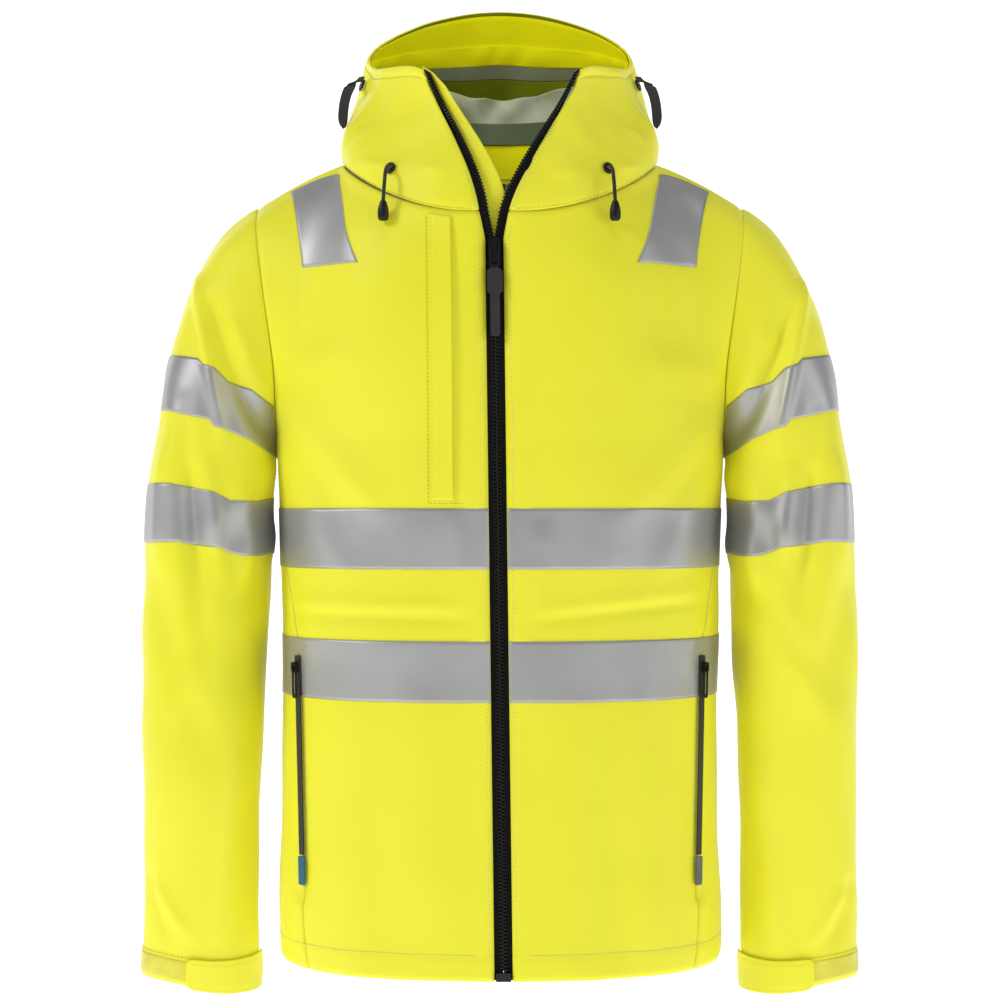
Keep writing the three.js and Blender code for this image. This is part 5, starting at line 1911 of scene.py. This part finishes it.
# ---------------------------------------------------------------- front zip
@dataclass
class FrontZip:
    """Tapes, separate moulded teeth and the flap behind the zip."""

    wardrobe: Wardrobe
    foot: float = 8.0
    tooth_pitch: float = 3.0
    tooth_reach: float = 6.35
    tooth: Triple = (3.3, 1.45, 2.5)

    def tapes(self) -> list[bpy.types.Object]:
        """A tape down each side, tucked under the front's edge."""
        made = []
        for name, sign in SIDES:
            place = zip_place(sign)
            low = 0.8 / CUT.neck_front

            def put(a: Array, b: Array, depth: Array, place: Place = place, low: float = low) -> Array:
                """Place the tape, with the bead that its teeth grip."""
                u = lerp(-1.2, 7.2, a)
                bead = 0.7 * bell(u - 4.9, 0.8)
                return place(u, lerp(low, 1.995, b), depth - 1.9 + bead)

            piece = Cloth(f"zip_tape_{name}", 12, 360, 0.8).make(put, towards((0.0, -1.0, 0.3)))
            self.wardrobe.dress(piece, "black_zip_tape")
            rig.replaces(piece, f"front_zip_tape_{name}")
            made.append(BODY.carry(piece))
        return made

    def teeth(self) -> list[bpy.types.Object]:
        """One row of moulded teeth on each tape; the rows mesh along the closed chain."""
        template = bar_template("zip_tooth", self.tooth, (0, 0, 0.1), 0.35)
        made = []
        for name, sign in SIDES:
            shift = 0 if sign > 0 else self.tooth_pitch / 2 / CUT.neck_front
            low = self.foot / CUT.neck_front + shift
            bm = bmesh.new()
            for start, end in ((low, 1 + shift), (1.003 + shift, 1.99)):
                path = line(self.tooth_reach, lambda t, s=start, e=end: lerp(s, e, t))
                repeated(bm, template, Track.lay(zip_place(sign), path, self.tooth_pitch, -0.3))
            piece = mesh_object(f"zip_teeth_{name}", bm, smooth_faces=False)
            self.wardrobe.dress(piece, "black_moulded")
            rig.replaces(piece, f"front_zip_teeth_{name}")
            made.append(BODY.carry(piece))
        return made

    def storm_flap(self) -> bpy.types.Object:
        """The flap behind the zip, showing beyond the right edge where the zip is open."""
        place = zip_place(-1)

        def put(a: Array, b: Array, depth: Array) -> Array:
            """Place the flap with its rounded top and soft outer edge."""
            v = lerp(12 / CUT.neck_front, 1.985, b)
            reach = 25 - 4 * np.maximum(v - 1, 0) - 13 * smooth(b, 0.955, 1.0) ** 2
            curl = 1.6 * a**2 * smooth(v, 1.0, 1.3)
            soft = ripple(vectors(a * 20, 0 * a, b * 700), 60, 0.35)
            return place(lerp(-12, reach, a), v, depth - 5.4 + curl + soft)

        cloth = Cloth("storm_flap_cloth", 16, 330, 1.6)
        piece = cloth.make(put, towards((0.0, -1.0, 0.2)))
        self.wardrobe.dress(piece, "yellow_shell", "yellow_inside")
        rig.replaces(piece, "inner_storm_flap")
        BODY.carry(piece)
        declare(cloth, piece, ["right_front_cloth"])
        return piece

    def build(self) -> list[bpy.types.Object]:
        """Build the zip."""
        return [*self.tapes(), *self.teeth(), self.storm_flap()]


# ---------------------------------------------------------------- pockets
@dataclass
class ChestPocket:
    """The flap over the upright zip on the wearer's right chest, and its stitched outline."""

    wardrobe: Wardrobe
    stitching: Stitching
    inner: float = 29
    width: float = 18
    length: float = 232

    def share(self, distance: Array, v: Array) -> Array:
        """Share of the front quarter at a distance outwards from the zip's edge, by halving."""
        low, high = np.zeros_like(v), np.ones_like(v)
        for _ in range(HALVINGS):
            middle = (low + high) / 2
            inside = TORSO.quarter(False, middle, v)[..., 0] < CUT.zip_half + distance
            low, high = np.where(inside, middle, low), np.where(inside, high, middle)
        return low

    def flap(self) -> bpy.types.Object:
        """The flap, sewn along its outer edge with its inner edge free."""
        place = body_place(-1, False)
        top = CUT.neck_front - 6

        def put(a: Array, b: Array, depth: Array) -> Array:
            """Place the flap."""
            v = lerp(top - self.length, top, b) / CUT.neck_front
            lift = 1.4 + 2.5 * (1 - a) ** 1.5 * np.sin(math.pi * np.clip(b, 0.02, 0.98)) ** 0.3
            groove = -0.35 * bell((1 - a) * self.width - 2.2, 0.8)
            return place(self.share(self.inner + a * self.width, v), v, depth + lift + groove)

        cloth = Cloth("chest_flap_cloth", 20, 110, 1.2)
        piece = cloth.make(put, away_from(0, 0))
        self.wardrobe.dress(piece, "yellow_shell")
        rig.replaces(piece, "chest_pocket_flap")
        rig.ride(piece, "chest_flap")
        declare(cloth, piece, ["right_front_cloth"])
        return piece

    def zip_tape(self) -> bpy.types.Object:
        """The pocket's zip tape under the flap."""
        place = body_place(-1, False)
        top = CUT.neck_front - 8

        def put(a: Array, b: Array, depth: Array) -> Array:
            """Place the tape."""
            v = lerp(top - self.length + 4, top, b) / CUT.neck_front
            return place(self.share(self.inner + 5 + a * 7, v), v, depth + 0.5)

        piece = Cloth("chest_zip_strip", 8, 90, 0.5).make(put, away_from(0, 0))
        self.wardrobe.dress(piece, "black_zip_tape")
        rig.replaces(piece, "chest_zip_tape")
        return BODY.carry(piece)

    def stitches(self) -> bpy.types.Object:
        """The pocket's outline: down beside the flap and across to the front zip."""
        place = body_place(-1, False)
        foot = (CUT.neck_front - 6 - self.length - 3) / CUT.neck_front
        outer = self.inner + self.width + 2.5

        def rise(t: Array) -> Array:
            """The share up the front along the upright row."""
            return lerp(foot, 0.985, t)

        upright = line(lambda t: self.share(outer + 0 * t, rise(t)), rise)
        level = line(lambda t: self.share(lerp(5, outer, t), foot + 0 * t), foot)
        rows = [(place, upright, 0.15), (place, level, 0.15)]
        return self.stitching.sew("chest_pocket_stitches", "yellow_thread", BODY, rows)

    def build(self) -> list[bpy.types.Object]:
        """Build the pocket."""
        return [self.flap(), self.zip_tape(), self.stitches()]


@dataclass
class HandPocket:
    """One hand pocket: its bag inside and the stitched box round its zip."""

    name: str
    sign: float
    wardrobe: Wardrobe
    stitching: Stitching

    def bag(self) -> bpy.types.Object:
        """The pocket's bag, hanging inside the front."""
        place = body_place(self.sign, False)
        low, high = CUT.pocket_bottom - 30, CUT.pocket_bottom + CUT.pocket_length - 12

        def put(a: Array, b: Array, depth: Array) -> Array:
            """Place the bag, fuller at its foot."""
            v = lerp(low, high, b) / CUT.neck_front
            full = np.sin(math.pi * a) ** 0.5 * np.sin(math.pi * b) ** 0.5
            return place(lerp(0.2, TORSO.seam(v) - 0.03, a), v, depth - 4.8 - 1.0 * full)

        cloth = Cloth(f"{self.name}_bag_cloth", 40, 44, 1.0)
        piece = cloth.make(put, away_from(0, 0))
        self.wardrobe.dress(piece, "pale_lining")
        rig.replaces(piece, f"{self.name}_pocket_bag")
        BODY.carry(piece)
        declare(cloth, piece, [f"{self.name}_front_cloth"])
        return piece

    def stitches(self) -> bpy.types.Object:
        """A row of stitches before the zip and across its top."""
        place = body_place(self.sign, False)
        low = (CUT.pocket_bottom - 6) / CUT.neck_front
        high = (CUT.pocket_bottom + CUT.pocket_length + 9) / CUT.neck_front
        side = 0.022
        upright = line(lambda t: TORSO.seam(lerp(low, high, t)) - side, lambda t: lerp(low, high, t))
        level = line(lambda t: TORSO.seam(high + 0 * t) - side * t, high)
        rows = [(place, upright, 0.9), (place, level, 0.9)]
        return self.stitching.sew(f"{self.name}_pocket_stitches", "pale_thread", BODY, rows)

    def build(self) -> list[bpy.types.Object]:
        """Build the pocket."""
        return [self.bag(), self.stitches()]


# ---------------------------------------------------------------- hood cords
@dataclass
class HoodCord:
    """A hood cord that leaves its eyelet and hangs to its moulded end."""

    name: str
    sign: float
    wardrobe: Wardrobe
    diameter: float = 3.2
    route: tuple[Triple, ...] = (
        (0, 0, 0), (1, -5, -1), (2, -10, -6), (2.5, -13, -13), (3, -15, -21), (3.5, -16, -30),
    )

    def _line(self) -> Array:
        """The cord's middle line in frame metres, at even shares of the route."""
        mouth = HOOD.place(self.sign)(np.array([0.22]), np.array([0.2]), np.array([4.2]))[0]
        knots = np.array([mouth + np.array([self.sign * x, y, z]) for x, y, z in self.route])
        return to_row(Torso._spline(knots, np.linspace(0, 1, 25)))

    def build(self) -> list[bpy.types.Object]:
        """Build the cord and its end."""
        points = self._line()
        curve = bpy.data.curves.new(f"{self.name}_hood_cord_braid", "CURVE")
        curve.dimensions = "3D"
        curve.bevel_depth = self.diameter / 2 * MM
        curve.bevel_resolution = 4
        curve.use_fill_caps = True
        spline = curve.splines.new("POLY")
        spline.points.add(len(points) - 1)
        for point, place in zip(spline.points, points):
            point.co = (*place, 1)
        cord = bpy.data.objects.new(curve.name, curve)
        bpy.context.scene.collection.objects.link(cord)
        self.wardrobe.dress(cord, "black_braid")
        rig.replaces(cord, f"{self.name}_hood_cord")
        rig.ride(cord, f"{self.name}_hood_cord")
        end = self._end()
        length = float(np.linalg.norm(np.diff(points, axis=0), axis=1).sum())
        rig.cord(cord, exit=tuple(points[0]), length=length, diameter=self.diameter * MM, far_end="fitting",
                stiffness="limp", lay="hanging", with_pieces=[end])
        LOG.info("%s: %.3f m long", cord.name, length)
        return [cord, end]

    def _end(self) -> bpy.types.Object:
        """The moulded end: a slim neck that swells to a rounded barrel with a flat mark."""
        low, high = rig.box(f"{self.name}_cord_end")
        middle = (low + high) / 2
        height, radius = high.z - low.z, (high.x - low.x) / 2
        section = (
            (0.0, 0.0), (0.55, 0.0), (0.86, 0.06), (0.98, 0.18), (1.0, 0.42),
            (0.92, 0.62), (0.72, 0.8), (0.56, 0.92), (0.5, 1.0), (0.0, 1.0),
        )
        bm = bmesh.new()
        corners = [bm.verts.new((middle.x + radius * r, middle.y, low.z + height * z)) for r, z in section]
        edges = [bm.edges.new(pair) for pair in zip(corners, corners[1:])]
        bmesh.ops.spin(
            bm, geom=corners + edges, cent=(middle.x, middle.y, 0), axis=(0, 0, 1), angle=2 * math.pi,
            steps=24, use_merge=True,
        )
        bmesh.ops.remove_doubles(bm, verts=bm.verts, dist=1e-6)
        bmesh.ops.recalc_face_normals(bm, faces=bm.faces)
        end = mesh_object(f"{self.name}_cord_barrel", bm)
        rounding = end.modifiers.new("rounding", "SUBSURF")
        rounding.levels = rounding.render_levels = 1
        self.wardrobe.dress(end, "black_moulded")
        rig.replaces(end, f"{self.name}_cord_end")
        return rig.ride(end, f"{self.name}_hood_cord")


@dataclass
class Adjuster:
    """The webbing strap of the hood's side adjuster, which leaves its eyelet and hangs down."""

    name: str
    sign: float
    wardrobe: Wardrobe
    half_width: float = 4.6
    route: tuple[Triple, ...] = ((122, 28, 768), (133, 15, 767), (139, 0, 750), (137.5, -12, 718))

    def build(self) -> list[bpy.types.Object]:
        """Build the strap."""
        knots = [np.array(knot, float) for knot in self.route]
        side = np.array([self.sign, 1, 1])
        flat, turned = np.array([0.1, -0.8, -0.6]), np.array([0.92, 0.3, 0.25])

        def put(a: Array, b: Array, depth: Array) -> Array:
            """Place the strap, its free end rounded, turning its face to the front."""
            along = 1 - np.maximum(b - 0.88, 0) / 0.12
            half = self.half_width * np.sqrt(np.maximum(1 - (1 - along) ** 2, 0.01))
            across = unit(lerp(flat, turned, smooth(b, 0.1, 0.6)[..., None]))
            point = bezier(b, *knots) + across * ((2 * a - 1) * half)[..., None]
            return point * side

        strap = Cloth(f"{self.name}_adjuster_strap", 8, 40, 1.5).make(put, towards((0.0, -1.0, 0.4)))
        self.wardrobe.dress(strap, "black_webbing_weave")
        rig.replaces(strap, f"{self.name}_adjuster_tab")
        fixed, free = (to_row(bezier(np.array(b), *knots) * side) for b in (0.02, 0.24))
        return [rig.blend(strap, ROOT, f"{self.name}_adjuster_tab", start=tuple(fixed), end=tuple(free))]


# ---------------------------------------------------------------- carried-over parts
CARRIED = {
    "front_slider": "black_moulded", "front_pull_link": "black_moulded", "front_zip_box": "black_moulded",
    "front_pull_tab": "black_webbing_weave", "hanger_loop": "black_webbing_weave",
}
CARRIED_PAIRS = {
    "pocket_slider": "black_moulded", "pocket_pull": "black_moulded", "cord_eyelet": "black_moulded",
    "adjuster_eyelet": "black_moulded", "pocket_zip_tape": "black_webbing_weave",
}


def dress_carried(frame: dict, wardrobe: Wardrobe) -> None:
    """Give the frame's own shown nodes their finishes."""
    finishes = dict(CARRIED)
    for name, _ in SIDES:
        finishes |= {f"{name}_{part}": finish for part, finish in CARRIED_PAIRS.items()}
    finishes |= {"left_pocket_tab": "grey_webbing", "right_pocket_tab": "blue_webbing"}
    for node, finish in finishes.items():
        materials = frame["nodes"][node].data.materials
        materials.clear()
        materials.append(wardrobe.built[finish])


# ---------------------------------------------------------------- studio
@dataclass
class Studio:
    """A pale floor that sweeps up behind, soft lights and the camera."""

    eye: Triple = (0.0, -1.876, -0.284)
    lens: float = 74.5
    floor: float = -0.8

    def camera(self) -> None:
        """Set up the camera, level and square to the front."""
        data = bpy.data.cameras.new("camera")
        data.lens = self.lens
        data.sensor_width = 36
        camera = bpy.data.objects.new("camera", data)
        camera.location = self.eye
        camera.rotation_euler = (math.pi / 2, 0, 0)
        bpy.context.scene.collection.objects.link(camera)
        bpy.context.scene.camera = camera

    def sweep(self) -> None:
        """A floor that curves up into a backdrop."""
        bm = bmesh.new()
        bmesh.ops.create_grid(bm, x_segments=1, y_segments=60, size=0.5)
        far, radius = 3.0, 1.5
        for vertex in bm.verts:
            run = (vertex.co.y + 0.5) * 12 - 5
            turn = min(max(run - far, 0) / radius, math.pi / 2)
            up = max(run - far - radius * math.pi / 2, 0)
            height = self.floor + radius * (1 - math.cos(turn)) + up
            vertex.co = (vertex.co.x * 16, min(run, far) + radius * math.sin(turn), height)
        sweep = mesh_object("studio_sweep", bm)
        material = bpy.data.materials.new("studio_white")
        material.use_nodes = True
        shader = material.node_tree.nodes["Principled BSDF"]
        shader.inputs["Base Color"].default_value = (0.9, 0.9, 0.9, 1)
        shader.inputs["Roughness"].default_value = 0.9
        shader.inputs["Emission Color"].default_value = (1, 1, 1, 1)
        shader.inputs["Emission Strength"].default_value = 0.8
        sweep.data.materials.append(material)
        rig.stage(sweep)

    def light(self, name: str, place: Sequence[float], size: float, power: float) -> None:
        """Hang a square soft light that looks at the jacket's middle."""
        data = bpy.data.lights.new(name, "AREA")
        data.size = size
        data.energy = power
        lamp = bpy.data.objects.new(name, data)
        lamp.location = place
        lamp.rotation_euler = (Vector((0, 0, -0.25)) - Vector(place)).to_track_quat("-Z", "Y").to_euler()
        bpy.context.scene.collection.objects.link(lamp)

    def build(self) -> None:
        """Set up the whole studio."""
        self.camera()
        self.sweep()
        self.light("key", (-2.1, -1.3, 1.3), 0.7, 25)
        self.light("fill", (2.2, -1.2, 0.5), 1.0, 9)
        self.light("top", (0.2, -0.2, 2.2), 1.0, 10)
        self.light("rear", (-1.2, 1.9, 0.8), 1.2, 4)
        world = bpy.data.worlds.new("studio_air")
        world.use_nodes = True
        world.node_tree.nodes["Background"].inputs["Color"].default_value = (1, 1, 1, 1)
        world.node_tree.nodes["Background"].inputs["Strength"].default_value = 0.22
        bpy.context.scene.world = world
        bpy.context.scene.view_settings.view_transform = "Standard"


def main() -> None:
    """Build the jacket round the frame and report each piece."""
    logging.basicConfig(level=logging.INFO, format="%(name)s: %(message)s")
    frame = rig.load()
    cad_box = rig.bounds()
    Studio().build()
    wardrobe = Wardrobe()
    stitching = Stitching(wardrobe)
    parts = [HoodCord(name, sign, wardrobe) for name, sign in SIDES]
    parts += [Adjuster(name, sign, wardrobe) for name, sign in SIDES]
    parts += [BodyShell(wardrobe, stitching), BodyTapes(wardrobe)]
    parts += [Sleeve(name, sign, wardrobe, stitching) for name, sign in SIDES]
    parts += [Hood(wardrobe, stitching), FrontZip(wardrobe), ChestPocket(wardrobe, stitching)]
    parts += [HandPocket(name, sign, wardrobe, stitching) for name, sign in SIDES]
    for part in parts:
        for piece in part.build():
            LOG.info("%s: %s", type(part).__name__, piece.name)
    dress_carried(frame, wardrobe)
    boxes = {"cad": [list(corner) for corner in cad_box], "visual": [list(corner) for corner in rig.bounds()]}
    with open("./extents.json", "w", encoding="utf-8") as file:
        json.dump(boxes, file)


if __name__ == "__main__":
    main()
